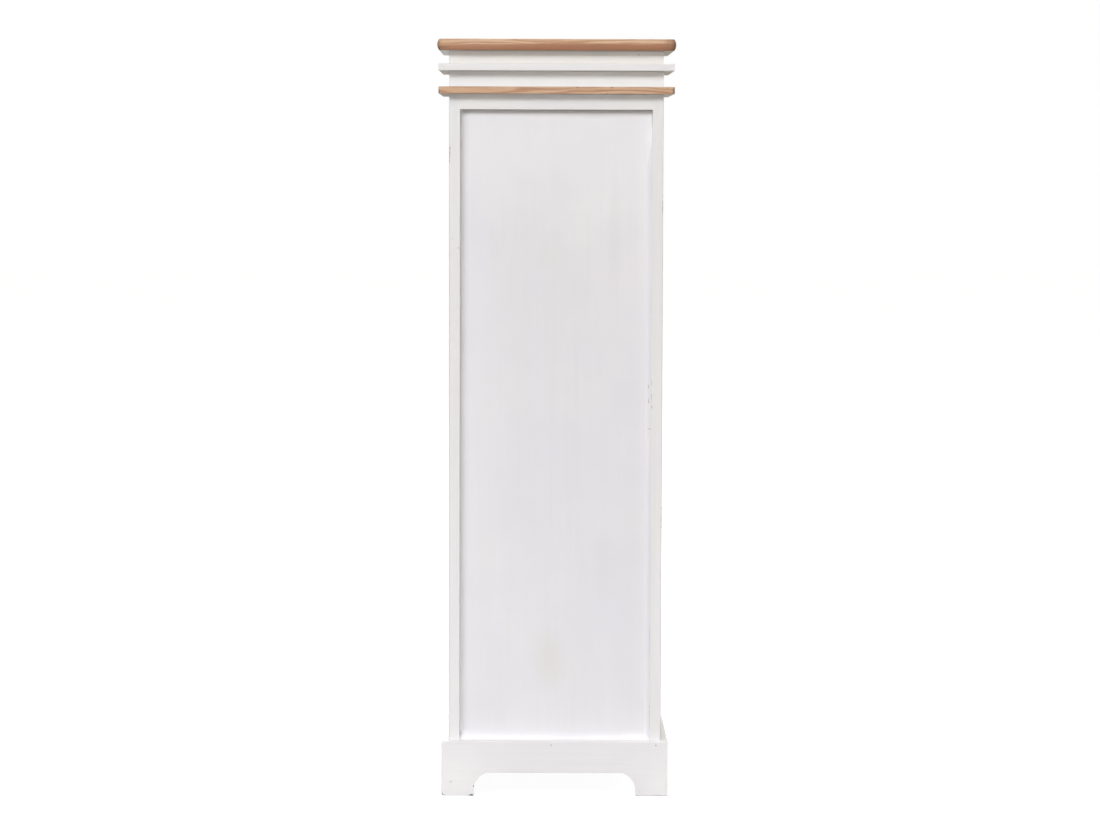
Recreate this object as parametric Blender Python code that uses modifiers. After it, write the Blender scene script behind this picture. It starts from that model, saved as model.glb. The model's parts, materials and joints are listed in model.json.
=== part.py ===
"""Narrow storage cabinet, white painted wood with natural wood trim.

A side-board carcass stands in a plinth with bracket feet and carries a
stepped cornice under a round-nosed wooden top. A framed door with two
fielded panels hangs on butt hinges below a drawer.

Metres, +Z up. The front faces -Y. The origin lies on the floor, under the
middle of the cabinet.
"""

import math

import bmesh
import bpy
from mathutils import Matrix, Vector

# Carcass
BODY_WIDTH = 0.360
BODY_DEPTH = 0.260
BODY_HEIGHT = 1.188
SIDE_THICKNESS = 0.018
SIDE_LIFT = 0.045
BOTTOM_THICKNESS = 0.015
BACK_RAIL_THICKNESS = 0.012
FRONT_RAIL_THICKNESS = 0.018
TOP_RAIL_HEIGHT = 0.0255
BACK_PANEL_THICKNESS = 0.004
BACK_PANEL_GROOVE = 0.006
CARCASS_EASE = 0.0010

# Cornice
TOP_THICKNESS = 0.020
TOP_OVERHANG = 0.020
TOP_NOSE = 0.0034
TOP_EASE = 0.0016
TOP_NOSE_STEPS = 8
CORNICE_THICKNESS = 0.0125
CORNICE_OVERHANG = 0.018
CORNICE_EASE = 0.0012
LOWER_BAND_HEIGHT = 0.026
UPPER_BAND_HEIGHT = 0.021
BAND_THICKNESS = 0.018

# Plinth
PLINTH_HEIGHT = 0.0935
PLINTH_THICKNESS = 0.012
PLINTH_EASE = 0.0014
FOOT_WIDTH = 0.0545
FOOT_STRAIGHT = 0.0125
ARCH_HEIGHT = 0.039
ARCH_CORNER_WIDTH = 0.0215
ARCH_CORNER_BULGE = 0.0046
ARCH_CORNER_STEPS = 8
CORNER_BLOCK_SIZE = 0.030
CORNER_BLOCK_LIFT = 0.001

# Shelves
SHELF_COUNT = 3
SHELF_THICKNESS = 0.015
SHELF_HOUSING = 0.006
SHELF_SETBACK = 0.004

# Drawer bay
DRAWER_BAY_HEIGHT = 0.119
DIVIDER_THICKNESS = 0.018
DIVIDER_DEPTH = 0.040
RUNNER_WIDTH = 0.020
RUNNER_HEIGHT = 0.018

# Drawer
DRAWER_REVEAL = 0.002
DRAWER_SIDE_CLEARANCE = 0.0015
DRAWER_RUN_CLEARANCE = 0.0005
DRAWER_KICK_CLEARANCE = 0.003
DRAWER_FRONT_THICKNESS = 0.018
DRAWER_SIDE_THICKNESS = 0.010
DRAWER_BOX_LENGTH = 0.205
DRAWER_BOTTOM_THICKNESS = 0.004
DRAWER_BOTTOM_LIFT = 0.008
DRAWER_GROOVE = 0.004
DRAWER_FIELD_MARGIN = 0.022
DRAWER_FIELD_SLOPE = 0.010
DRAWER_FIELD_SINK = 0.004

# Door
DOOR_REVEAL = 0.002
DOOR_THICKNESS = 0.018
STILE_WIDTH = 0.050
DOOR_TOP_RAIL = 0.050
DOOR_MIDDLE_RAIL = 0.050
DOOR_BOTTOM_RAIL = 0.065
DOOR_MIDDLE_SHARE = 0.52
DOOR_GROOVE_WIDTH = 0.006
DOOR_GROOVE_DEPTH = 0.009
FIELD_MARGIN = 0.003
FIELD_SLOPE = 0.024
FIELD_RAISE = 0.0045
DOOR_EASE = 0.0010

# Butt hinges
HINGE_LENGTH = 0.060
HINGE_END_DISTANCE = 0.095
HINGE_KNUCKLES = 5
HINGE_LEAF_THICKNESS = 0.001
HINGE_LEAF_DEPTH = 0.014
HINGE_MORTISE = 0.0007
HINGE_KNUCKLE_RADIUS = 0.0030
HINGE_PIN_RADIUS = 0.0015
HINGE_STAND_OFF = 0.0005
HINGE_PIN_HEAD_RADIUS = 0.0026
HINGE_PIN_HEAD_HEIGHT = 0.0014
HINGE_SIDES = 16

# Magnetic catch
CATCH_LENGTH = 0.044
CATCH_HEIGHT = 0.012
CATCH_DEPTH = 0.015
CATCH_OFFSET = 0.060
CATCH_EASE = 0.0012
STRIKE_LENGTH = 0.034
STRIKE_HEIGHT = 0.009
STRIKE_THICKNESS = 0.0012
STRIKE_DROP = 0.003

# Knobs and their bolts
KNOB_RADIUS = 0.015
KNOB_LENGTH = 0.019
KNOB_BORE_DEPTH = 0.012
KNOB_STEPS = 28
BOLT_RADIUS = 0.0020
BOLT_REACH = 0.010
BOLT_HEAD_RADIUS = 0.0042
BOLT_HEAD_HEIGHT = 0.0024
BOLT_SIDES = 16
# Outer side of a knob, from its tip to its foot: share of the radius, share of the length
KNOB_PROFILE_SHARES = (
    (0.00, 1.00),
    (0.32, 0.985),
    (0.62, 0.935),
    (0.84, 0.85),
    (0.97, 0.74),
    (1.00, 0.63),
    (0.93, 0.53),
    (0.74, 0.45),
    (0.54, 0.38),
    (0.43, 0.26),
    (0.43, 0.14),
    (0.52, 0.05),
    (0.56, 0.00),
)

# Clearances and the overrun of every cutter
JOINT_GAP = 0.0003
HINGE_PIN_CLEARANCE = 0.0003
BOLT_CLEARANCE = 0.0003
OVERRUN = 0.002
WELD_DISTANCE = 0.00001

# Places worked out from the sizes above
HALF_BODY = BODY_WIDTH / 2
HALF_INSIDE = HALF_BODY - SIDE_THICKNESS
FRONT = -BODY_DEPTH / 2
BACK = BODY_DEPTH / 2
PANEL_OUTER = BACK - BACK_RAIL_THICKNESS
PANEL_INNER = PANEL_OUTER - BACK_PANEL_THICKNESS
MITRE_GAP = JOINT_GAP / math.sqrt(2)

WOOD_CORNICE_BOTTOM = BODY_HEIGHT
LOWER_BAND_BOTTOM = WOOD_CORNICE_BOTTOM + CORNICE_THICKNESS
WHITE_CORNICE_BOTTOM = LOWER_BAND_BOTTOM + LOWER_BAND_HEIGHT
UPPER_BAND_BOTTOM = WHITE_CORNICE_BOTTOM + CORNICE_THICKNESS
TOP_BOTTOM = UPPER_BAND_BOTTOM + UPPER_BAND_HEIGHT

BAY_TOP = BODY_HEIGHT - TOP_RAIL_HEIGHT
BAY_BOTTOM = BAY_TOP - DRAWER_BAY_HEIGHT
OPENING_TOP = BAY_BOTTOM - DIVIDER_THICKNESS
OPENING_BOTTOM = PLINTH_HEIGHT

DOOR_LEFT = -HALF_INSIDE + DOOR_REVEAL
DOOR_RIGHT = HALF_INSIDE - DOOR_REVEAL
DOOR_BOTTOM = OPENING_BOTTOM + DOOR_REVEAL
DOOR_TOP = OPENING_TOP - DOOR_REVEAL
DOOR_BACK = FRONT + DOOR_THICKNESS
DOOR_MIDDLE = DOOR_BOTTOM + (DOOR_TOP - DOOR_BOTTOM) * DOOR_MIDDLE_SHARE
DOOR_GROOVE_FRONT = FRONT + (DOOR_THICKNESS - DOOR_GROOVE_WIDTH) / 2
DOOR_GROOVE_BACK = DOOR_GROOVE_FRONT + DOOR_GROOVE_WIDTH

HINGE_AXIS_X = -HALF_INSIDE + DOOR_REVEAL / 2
HINGE_AXIS_Y = FRONT - HINGE_KNUCKLE_RADIUS - HINGE_STAND_OFF
HINGE_LOW = DOOR_BOTTOM + HINGE_END_DISTANCE
HINGE_HIGH = DOOR_TOP - HINGE_END_DISTANCE - HINGE_LENGTH

CABINET = bpy.data.collections.new("storage_cabinet")
CUTTERS = bpy.data.collections.new("cutters")


def clear_scene():
    """Removes the objects of the start-up scene."""
    for thing in list(bpy.data.objects):
        bpy.data.objects.remove(thing)


def make_material(name, colour, roughness, metallic):
    """One Principled material."""
    material = bpy.data.materials.new(name)
    material.use_nodes = True
    shader = material.node_tree.nodes["Principled BSDF"]
    shader.inputs["Base Color"].default_value = (*colour, 1)
    shader.inputs["Roughness"].default_value = roughness
    shader.inputs["Metallic"].default_value = metallic
    material.diffuse_color = (*colour, 1)
    return material


def file_under(piece, collection):
    """Keeps an object in one collection only."""
    for holder in list(piece.users_collection):
        holder.objects.unlink(piece)
    collection.objects.link(piece)


def as_part(piece, name, finish):
    """Names a finished object as a sub-part of the cabinet, with a material of its own."""
    piece.name = name
    piece.data.name = name
    colour, roughness, metallic = finish
    piece.data.materials.clear()
    piece.data.materials.append(make_material(name + "_finish", colour, roughness, metallic))
    file_under(piece, CABINET)
    return piece


def box_between(low, high):
    """A box from its lowest to its highest corner."""
    low = Vector(low)
    high = Vector(high)
    bpy.ops.mesh.primitive_cube_add(size=1, location=(low + high) / 2)
    piece = bpy.context.active_object
    piece.scale = high - low
    bpy.ops.object.transform_apply(location=False, rotation=False, scale=True)
    return piece


def upright_cylinder(radius, bottom, top, x, y, sides):
    """A cylinder along Z."""
    middle = (x, y, (bottom + top) / 2)
    bpy.ops.mesh.primitive_cylinder_add(vertices=sides, radius=radius, depth=top - bottom, location=middle)
    return bpy.context.active_object


def level_cylinder(radius, front, back, x, z, sides):
    """A cylinder along Y."""
    middle = (x, (front + back) / 2, z)
    turn = (math.pi / 2, 0, 0)
    bpy.ops.mesh.primitive_cylinder_add(
        vertices=sides, radius=radius, depth=back - front, location=middle, rotation=turn
    )
    return bpy.context.active_object


def outline_solid(points, thickness):
    """A mesh cut from a flat outline in local XY, with half its thickness on each side of it."""
    outline = bpy.data.curves.new("outline", "CURVE")
    outline.dimensions = "2D"
    outline.fill_mode = "BOTH"
    outline.extrude = thickness / 2
    spline = outline.splines.new("POLY")
    spline.points.add(len(points) - 1)
    for point, (x, y) in zip(spline.points, points):
        point.co = (x, y, 0, 1)
    spline.use_cyclic_u = True
    flat = bpy.data.objects.new("outline", outline)
    bpy.context.scene.collection.objects.link(flat)
    bpy.context.view_layer.update()
    graph = bpy.context.evaluated_depsgraph_get()
    mesh = bpy.data.meshes.new_from_object(flat.evaluated_get(graph))
    work = bmesh.new()
    work.from_mesh(mesh)
    bmesh.ops.remove_doubles(work, verts=work.verts, dist=WELD_DISTANCE)
    bmesh.ops.recalc_face_normals(work, faces=work.faces)
    work.to_mesh(mesh)
    work.free()
    piece = bpy.data.objects.new("outline_solid", mesh)
    bpy.context.scene.collection.objects.link(piece)
    bpy.data.objects.remove(flat)
    return piece


def join_by(piece, other, operation):
    """Adds a Boolean with another object, which goes with the cutters and follows the piece."""
    other.parent = piece
    other.display_type = "WIRE"
    other.hide_render = True
    file_under(other, CUTTERS)
    change = piece.modifiers.new(operation.lower(), "BOOLEAN")
    change.operation = operation
    change.object = other
    change.solver = "EXACT"


def place_as_cutter(piece, other, operation):
    """The same for an object that was placed in the world: it keeps its place."""
    join_by(piece, other, operation)
    other.matrix_parent_inverse = Matrix.Translation(-piece.location)


def cut_box(piece, low, high):
    place_as_cutter(piece, box_between(low, high), "DIFFERENCE")


def add_box(piece, low, high):
    place_as_cutter(piece, box_between(low, high), "UNION")


def ease_edges(piece, width, chosen, segments=2):
    """Rounds the edges whose middle and direction the test accepts, before any cut."""
    mesh = piece.data
    weights = mesh.attributes.new("bevel_weight_edge", "FLOAT", "EDGE")
    for edge in mesh.edges:
        start = mesh.vertices[edge.vertices[0]].co
        end = mesh.vertices[edge.vertices[1]].co
        weights.data[edge.index].value = float(chosen((start + end) / 2, (end - start).normalized()))
    rounding = piece.modifiers.new("eased_edges", "BEVEL")
    rounding.limit_method = "WEIGHT"
    rounding.width = width
    rounding.segments = segments


def all_edges(middle, direction):
    return True


def upright_outer_edges(side):
    """The two long upright edges on the outer face of a side board."""

    def chosen(middle, direction):
        return abs(direction.z) > abs(direction.x) + abs(direction.y) and middle.x * side > 0

    return chosen


def front_edges(middle, direction):
    """The long edges of a shelf's front."""
    return abs(direction.x) > abs(direction.y) + abs(direction.z) and middle.y < 0


def hang_on(pieces, name, place):
    """Parents the pieces of a moving body to an empty that lies on its joint's axis."""
    axis = bpy.data.objects.new(name, None)
    axis.location = place
    CABINET.objects.link(axis)
    for piece in pieces:
        piece.parent = axis
        piece.matrix_parent_inverse = Matrix.Translation(-Vector(place))


def around_four_sides(length_x, length_y):
    """Name, length, place and turn of the four boards of a mitred frame, outer faces outward."""
    return (
        ("front", length_x, (0, -length_y / 2), 0),
        ("right", length_y, (length_x / 2, 0), math.pi / 2),
        ("back", length_x, (0, length_y / 2), math.pi),
        ("left", length_y, (-length_x / 2, 0), -math.pi / 2),
    )


def mitred_board(length, thickness, bottom, top, place, turn):
    """A board of a frame: its outer face is at local y = 0 and both ends are mitred."""
    half = length / 2 - MITRE_GAP
    outline = (
        (-half, 0),
        (half, 0),
        (half - thickness, thickness),
        (-half + thickness, thickness),
    )
    board = outline_solid(outline, top - bottom)
    board.location = (*place, (bottom + top) / 2)
    board.rotation_euler = (0, 0, turn)
    return board


def arc_between(start, end, bulge, steps):
    """Points of the arc from start to end that stands off its chord by bulge, to the left."""
    start = Vector(start)
    end = Vector(end)
    chord = end - start
    half = chord.length / 2
    radius = (half * half + bulge * bulge) / (2 * bulge)
    left = Vector((-chord.y, chord.x)).normalized()
    centre = (start + end) / 2 - left * (radius - bulge)
    sweep = math.asin(half / radius)
    first = math.atan2(left.y, left.x) + sweep
    turned = (first - 2 * sweep * step / steps for step in range(steps + 1))
    return [centre + radius * Vector((math.cos(angle), math.sin(angle))) for angle in turned]


def arch_outline(length):
    """Half-open arch between two bracket feet, run down past the floor, in local X and Z."""
    half = length / 2 - FOOT_WIDTH
    left_corner = arc_between(
        (-half, FOOT_STRAIGHT),
        (-half + ARCH_CORNER_WIDTH, ARCH_HEIGHT),
        ARCH_CORNER_BULGE,
        ARCH_CORNER_STEPS,
    )
    left = [(point.x, point.y) for point in left_corner]
    right = [(-x, z) for x, z in reversed(left)]
    return [(-half, -OVERRUN), *left, *right, (half, -OVERRUN)]


# Cornice


def make_top_board():
    """The wooden top: a board whose four edges bulge as shallow arcs."""
    half_height = (TOP_THICKNESS - JOINT_GAP) / 2
    radius = (half_height * half_height + TOP_NOSE * TOP_NOSE) / (2 * TOP_NOSE)
    work = bmesh.new()
    bmesh.ops.create_cube(work, size=1)
    width = BODY_WIDTH + 2 * TOP_OVERHANG - 2 * TOP_NOSE
    depth = BODY_DEPTH + 2 * TOP_OVERHANG - 2 * TOP_NOSE
    bmesh.ops.scale(work, vec=(width, depth, 2 * half_height), verts=work.verts)
    for step in range(1, TOP_NOSE_STEPS):
        level = half_height * (2 * step / TOP_NOSE_STEPS - 1)
        everything = [*work.verts, *work.edges, *work.faces]
        bmesh.ops.bisect_plane(work, geom=everything, plane_co=(0, 0, level), plane_no=(0, 0, 1))
    for vert in work.verts:
        bulge = math.sqrt(radius * radius - vert.co.z * vert.co.z) - (radius - TOP_NOSE)
        vert.co.x += math.copysign(bulge, vert.co.x)
        vert.co.y += math.copysign(bulge, vert.co.y)
    mesh = bpy.data.meshes.new("top_board")
    work.to_mesh(mesh)
    work.free()
    board = bpy.data.objects.new("top_board", mesh)
    bpy.context.scene.collection.objects.link(board)
    board.location = (0, 0, TOP_BOTTOM + JOINT_GAP + half_height)
    rim = half_height * (1 - 1 / TOP_NOSE_STEPS)

    def corner_or_rim(middle, direction):
        return abs(direction.z) > abs(direction.x) + abs(direction.y) or abs(middle.z) > rim

    ease_edges(board, TOP_EASE, corner_or_rim)
    as_part(board, "top_board", NATURAL_WOOD)


def make_cornice_board(name, bottom, finish):
    """A flat board that overhangs the carcass on all four sides."""
    across = HALF_BODY + CORNICE_OVERHANG
    along = BACK + CORNICE_OVERHANG
    board = box_between((-across, -along, bottom + JOINT_GAP), (across, along, bottom + CORNICE_THICKNESS))
    ease_edges(board, CORNICE_EASE, all_edges)
    as_part(board, name, finish)


def make_band(name, bottom, height):
    """A recessed frame of four mitred boards between two cornice boards."""
    for side, length, place, turn in around_four_sides(BODY_WIDTH, BODY_DEPTH):
        board = mitred_board(length, BAND_THICKNESS, bottom + JOINT_GAP, bottom + height, place, turn)
        as_part(board, name + "_" + side, WHITE_PAINT)


def make_cornice():
    make_cornice_board("wood_cornice_board", WOOD_CORNICE_BOTTOM, NATURAL_WOOD)
    make_band("lower_band", LOWER_BAND_BOTTOM, LOWER_BAND_HEIGHT)
    make_cornice_board("white_cornice_board", WHITE_CORNICE_BOTTOM, WHITE_PAINT)
    make_band("upper_band", UPPER_BAND_BOTTOM, UPPER_BAND_HEIGHT)
    make_top_board()


# Plinth


def make_plinth():
    """Four mitred boards, each cut out between two bracket feet."""
    width = BODY_WIDTH + 2 * PLINTH_THICKNESS
    depth = BODY_DEPTH + 2 * PLINTH_THICKNESS
    thickness = PLINTH_THICKNESS - JOINT_GAP
    for side, length, place, turn in around_four_sides(width, depth):
        board = mitred_board(length, thickness, 0, PLINTH_HEIGHT, place, turn)

        def long_outer_edges(middle, direction):
            return abs(direction.x) > abs(direction.y) + abs(direction.z) and middle.y < thickness / 4

        ease_edges(board, PLINTH_EASE, long_outer_edges)
        arch = outline_solid(arch_outline(length), thickness + 2 * OVERRUN)
        arch.rotation_euler = (math.pi / 2, 0, 0)
        arch.location = (0, thickness / 2, -PLINTH_HEIGHT / 2)
        join_by(board, arch, "DIFFERENCE")
        as_part(board, "plinth_" + side, WHITE_PAINT)


def make_corner_block(name, side_x, side_y):
    """A three-cornered glue block in a corner of the plinth, under the side board."""
    outline = (
        (0, 0),
        (CORNER_BLOCK_SIZE, 0),
        (CORNER_BLOCK_SIZE, SIDE_THICKNESS / 2),
        (SIDE_THICKNESS / 2, CORNER_BLOCK_SIZE),
        (0, CORNER_BLOCK_SIZE),
    )
    inward = [(-side_x * x, -side_y * y) for x, y in outline]
    if side_x * side_y < 0:
        inward.reverse()
    top = SIDE_LIFT - JOINT_GAP
    block = outline_solid(inward, top - CORNER_BLOCK_LIFT)
    block.location = (side_x * HALF_BODY, side_y * BACK, (CORNER_BLOCK_LIFT + top) / 2)
    as_part(block, name, BARE_WOOD)


def make_corner_blocks():
    for end, side_y in (("front", -1), ("back", 1)):
        for side, side_x in (("left", -1), ("right", 1)):
            make_corner_block("corner_block_" + end + "_" + side, side_x, side_y)


# Carcass


def shelf_bottoms():
    """Undersides of the shelves, evenly spaced in the door's opening."""
    free = OPENING_TOP - OPENING_BOTTOM - SHELF_COUNT * SHELF_THICKNESS
    space = free / (SHELF_COUNT + 1)
    return [OPENING_BOTTOM + space + (space + SHELF_THICKNESS) * shelf for shelf in range(SHELF_COUNT)]


def make_side_board(name, side):
    """A side board with a groove for the back panel and housings for the shelves."""

    def across(distance):
        return side * distance

    def cut_across(board, near, far, front, back, bottom, top):
        low_x, high_x = sorted((across(near), across(far)))
        cut_box(board, (low_x, front, bottom), (high_x, back, top))

    low_x, high_x = sorted((across(HALF_INSIDE), across(HALF_BODY)))
    board = box_between((low_x, FRONT, SIDE_LIFT), (high_x, BACK, BODY_HEIGHT))
    ease_edges(board, CARCASS_EASE, upright_outer_edges(side))
    groove_bottom = PLINTH_HEIGHT - BOTTOM_THICKNESS - JOINT_GAP
    near = HALF_INSIDE - OVERRUN
    cut_across(
        board, near, HALF_INSIDE + BACK_PANEL_GROOVE,
        PANEL_INNER - JOINT_GAP, PANEL_OUTER + JOINT_GAP,
        groove_bottom, BODY_HEIGHT + OVERRUN,
    )
    shelf_front = DOOR_BACK + SHELF_SETBACK
    for bottom in shelf_bottoms():
        cut_across(
            board, near, HALF_INSIDE + SHELF_HOUSING,
            shelf_front - JOINT_GAP, PANEL_INNER,
            bottom - JOINT_GAP, bottom + SHELF_THICKNESS + JOINT_GAP,
        )
    if side < 0:
        for bottom in (HINGE_LOW, HINGE_HIGH):
            cut_across(
                board, near, HALF_INSIDE + HINGE_MORTISE,
                FRONT - OVERRUN, FRONT + HINGE_LEAF_DEPTH + JOINT_GAP,
                bottom - JOINT_GAP, bottom + HINGE_LENGTH + JOINT_GAP,
            )
    as_part(board, name, WHITE_PAINT)


def make_crosswise(name, front, back, bottom, top, finish):
    """A board between the two side boards."""
    half = HALF_INSIDE - JOINT_GAP
    board = box_between((-half, front, bottom), (half, back, top))
    as_part(board, name, finish)


def make_carcass():
    make_side_board("side_board_left", -1)
    make_side_board("side_board_right", 1)
    rail_front = PANEL_OUTER + JOINT_GAP
    make_crosswise(
        "bottom_board", FRONT, PANEL_INNER - JOINT_GAP,
        PLINTH_HEIGHT - BOTTOM_THICKNESS, PLINTH_HEIGHT, WHITE_PAINT,
    )
    make_crosswise("back_bottom_rail", rail_front, BACK, SIDE_LIFT, PLINTH_HEIGHT, WHITE_PAINT)
    make_crosswise("back_top_rail", rail_front, BACK, BAY_TOP, BODY_HEIGHT, WHITE_PAINT)
    make_crosswise("front_top_rail", FRONT, FRONT + FRONT_RAIL_THICKNESS, BAY_TOP, BODY_HEIGHT, WHITE_PAINT)
    make_crosswise("divider_rail", FRONT, FRONT + DIVIDER_DEPTH, OPENING_TOP, BAY_BOTTOM, WHITE_PAINT)
    half = HALF_INSIDE + BACK_PANEL_GROOVE - JOINT_GAP
    panel = box_between(
        (-half, PANEL_INNER, PLINTH_HEIGHT - BOTTOM_THICKNESS),
        (half, PANEL_OUTER, BODY_HEIGHT),
    )
    as_part(panel, "back_panel", WHITE_PAINT)


def make_shelves():
    """Shelves housed in the side boards."""
    half = HALF_INSIDE + SHELF_HOUSING - JOINT_GAP
    front = DOOR_BACK + SHELF_SETBACK
    for number, bottom in enumerate(shelf_bottoms(), start=1):
        back = PANEL_INNER - JOINT_GAP
        shelf = box_between((-half, front, bottom), (half, back, bottom + SHELF_THICKNESS))
        ease_edges(shelf, CARCASS_EASE, front_edges)
        as_part(shelf, "shelf_" + str(number), WHITE_PAINT)


def make_drawer_guides():
    """Strips on the side boards: the drawer runs on the lower ones and the upper ones stop it tipping."""
    back = PANEL_INNER - JOINT_GAP
    outer = HALF_INSIDE - JOINT_GAP
    inner = HALF_INSIDE - RUNNER_WIDTH
    for side_name, side in (("left", -1), ("right", 1)):
        low_x, high_x = sorted((side * inner, side * outer))
        runner = box_between(
            (low_x, FRONT + DIVIDER_DEPTH + JOINT_GAP, BAY_BOTTOM - RUNNER_HEIGHT),
            (high_x, back, BAY_BOTTOM),
        )
        as_part(runner, "drawer_runner_" + side_name, BARE_WOOD)
        kicker = box_between(
            (low_x, FRONT + FRONT_RAIL_THICKNESS + JOINT_GAP, BAY_TOP),
            (high_x, back, BODY_HEIGHT),
        )
        as_part(kicker, "drawer_kicker_" + side_name, BARE_WOOD)


# Knobs


def make_knob(name, x, z):
    """A turned wooden knob on the front's face, bored for its bolt."""
    bore = BOLT_RADIUS + BOLT_CLEARANCE
    outer = [(share * KNOB_RADIUS, height * KNOB_LENGTH) for share, height in KNOB_PROFILE_SHARES]
    profile = [*outer, (bore, 0), (bore, KNOB_BORE_DEPTH), (0, KNOB_BORE_DEPTH)]
    mesh = bpy.data.meshes.new(name)
    points = [(radius, 0, height) for radius, height in profile]
    edges = [(first, first + 1) for first in range(len(points) - 1)]
    mesh.from_pydata(points, edges, [])
    knob = bpy.data.objects.new(name, mesh)
    bpy.context.scene.collection.objects.link(knob)
    turning = knob.modifiers.new("turned", "SCREW")
    turning.axis = "Z"
    turning.steps = KNOB_STEPS
    turning.render_steps = KNOB_STEPS
    turning.use_merge_vertices = True
    turning.merge_threshold = WELD_DISTANCE
    turning.use_smooth_shade = True
    knob.rotation_euler = (math.pi / 2, 0, 0)
    knob.location = (x, FRONT - JOINT_GAP, z)
    return as_part(knob, name, NATURAL_WOOD)


def make_knob_bolt(name, x, z, thickness):
    """The bolt that holds a knob, with its head behind a front of the given thickness."""
    seat = FRONT + thickness + JOINT_GAP
    bolt = level_cylinder(BOLT_HEAD_RADIUS, seat, seat + BOLT_HEAD_HEIGHT, x, z, BOLT_SIDES)
    tip = FRONT - JOINT_GAP - BOLT_REACH
    shank = level_cylinder(BOLT_RADIUS, tip, seat + BOLT_HEAD_HEIGHT / 2, x, z, BOLT_SIDES)
    shank_in_bolt = shank.location - bolt.location
    join_by(bolt, shank, "UNION")
    shank.rotation_euler = (0, 0, 0)
    shank.location = Matrix.Rotation(-bolt.rotation_euler.x, 3, "X") @ shank_in_bolt
    return as_part(bolt, name, STEEL)


def bore_for_bolt(piece, x, z, thickness):
    hole = level_cylinder(
        BOLT_RADIUS + BOLT_CLEARANCE, FRONT - OVERRUN, FRONT + thickness + OVERRUN, x, z, BOLT_SIDES
    )
    place_as_cutter(piece, hole, "DIFFERENCE")


# Drawer


def sunk_field(low, high):
    """Sinks a sloped field into the front face of a drawer front."""
    piece = box_between(low, high)
    work = bmesh.new()
    work.from_mesh(piece.data)
    work.faces.ensure_lookup_table()
    front = [face for face in work.faces if face.normal.y < -abs(face.normal.x) - abs(face.normal.z)]
    bmesh.ops.inset_region(work, faces=front, thickness=DRAWER_FIELD_MARGIN, use_even_offset=True)
    bmesh.ops.inset_region(
        work, faces=front, thickness=DRAWER_FIELD_SLOPE, depth=-DRAWER_FIELD_SINK, use_even_offset=True
    )
    work.to_mesh(piece.data)
    work.free()
    return piece


def make_drawer():
    """Front, two sides, back and bottom, with a knob and its bolt."""
    half_front = HALF_INSIDE - DRAWER_REVEAL
    front_bottom = BAY_BOTTOM + DRAWER_REVEAL
    front_top = BAY_TOP - DRAWER_REVEAL
    front_back = FRONT + DRAWER_FRONT_THICKNESS
    half_box = HALF_INSIDE - DRAWER_SIDE_CLEARANCE
    half_inner = half_box - DRAWER_SIDE_THICKNESS
    box_bottom = BAY_BOTTOM + DRAWER_RUN_CLEARANCE
    box_top = BAY_TOP - DRAWER_KICK_CLEARANCE
    box_front = front_back + JOINT_GAP
    box_back = box_front + DRAWER_BOX_LENGTH
    panel_bottom = box_bottom + DRAWER_BOTTOM_LIFT
    panel_top = panel_bottom + DRAWER_BOTTOM_THICKNESS
    knob_height = (front_bottom + front_top) / 2

    front = sunk_field((-half_front, FRONT, front_bottom), (half_front, front_back, front_top))
    half_panel = half_inner + DRAWER_GROOVE - JOINT_GAP
    cut_box(
        front,
        (-half_panel - JOINT_GAP, front_back - DRAWER_GROOVE, panel_bottom - JOINT_GAP),
        (half_panel + JOINT_GAP, front_back + OVERRUN, panel_top + JOINT_GAP),
    )
    bore_for_bolt(front, 0, knob_height, DRAWER_FRONT_THICKNESS)
    as_part(front, "drawer_front", WHITE_PAINT)

    pieces = [front]
    for side_name, side in (("left", -1), ("right", 1)):
        low_x, high_x = sorted((side * half_inner, side * half_box))
        board = box_between((low_x, box_front, box_bottom), (high_x, box_back, box_top))
        groove = (side * (half_inner - OVERRUN), side * (half_inner + DRAWER_GROOVE))
        groove_low, groove_high = sorted(groove)
        cut_box(
            board,
            (groove_low, box_front - OVERRUN, panel_bottom - JOINT_GAP),
            (groove_high, box_back + OVERRUN, panel_top + JOINT_GAP),
        )
        pieces.append(as_part(board, "drawer_side_" + side_name, BARE_WOOD))

    half_back = half_inner - JOINT_GAP
    back = box_between(
        (-half_back, box_back - DRAWER_SIDE_THICKNESS, panel_top + JOINT_GAP),
        (half_back, box_back, box_top),
    )
    pieces.append(as_part(back, "drawer_back", BARE_WOOD))
    bottom = box_between(
        (-half_panel, front_back - DRAWER_GROOVE + JOINT_GAP, panel_bottom),
        (half_panel, box_back, panel_top),
    )
    pieces.append(as_part(bottom, "drawer_bottom", BARE_WOOD))
    pieces.append(make_knob("drawer_knob", 0, knob_height))
    pieces.append(make_knob_bolt("drawer_knob_bolt", 0, knob_height, DRAWER_FRONT_THICKNESS))
    hang_on(pieces, "drawer_axis", (0, FRONT, box_bottom))


# Door


def make_stile(name, low_x, high_x, inner_x, inward):
    """An upright of the door with a groove down its inner edge."""
    stile = box_between((low_x, FRONT, DOOR_BOTTOM), (high_x, DOOR_BACK, DOOR_TOP))

    def outer_uprights(middle, direction):
        return abs(direction.z) > abs(direction.x) + abs(direction.y) and middle.x * inward < 0

    ease_edges(stile, DOOR_EASE, outer_uprights)
    groove_low, groove_high = sorted((inner_x - inward * DOOR_GROOVE_DEPTH, inner_x + inward * OVERRUN))
    cut_box(
        stile,
        (groove_low, DOOR_GROOVE_FRONT, DOOR_BOTTOM - OVERRUN),
        (groove_high, DOOR_GROOVE_BACK, DOOR_TOP + OVERRUN),
    )
    return as_part(stile, name, WHITE_PAINT)


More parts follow.
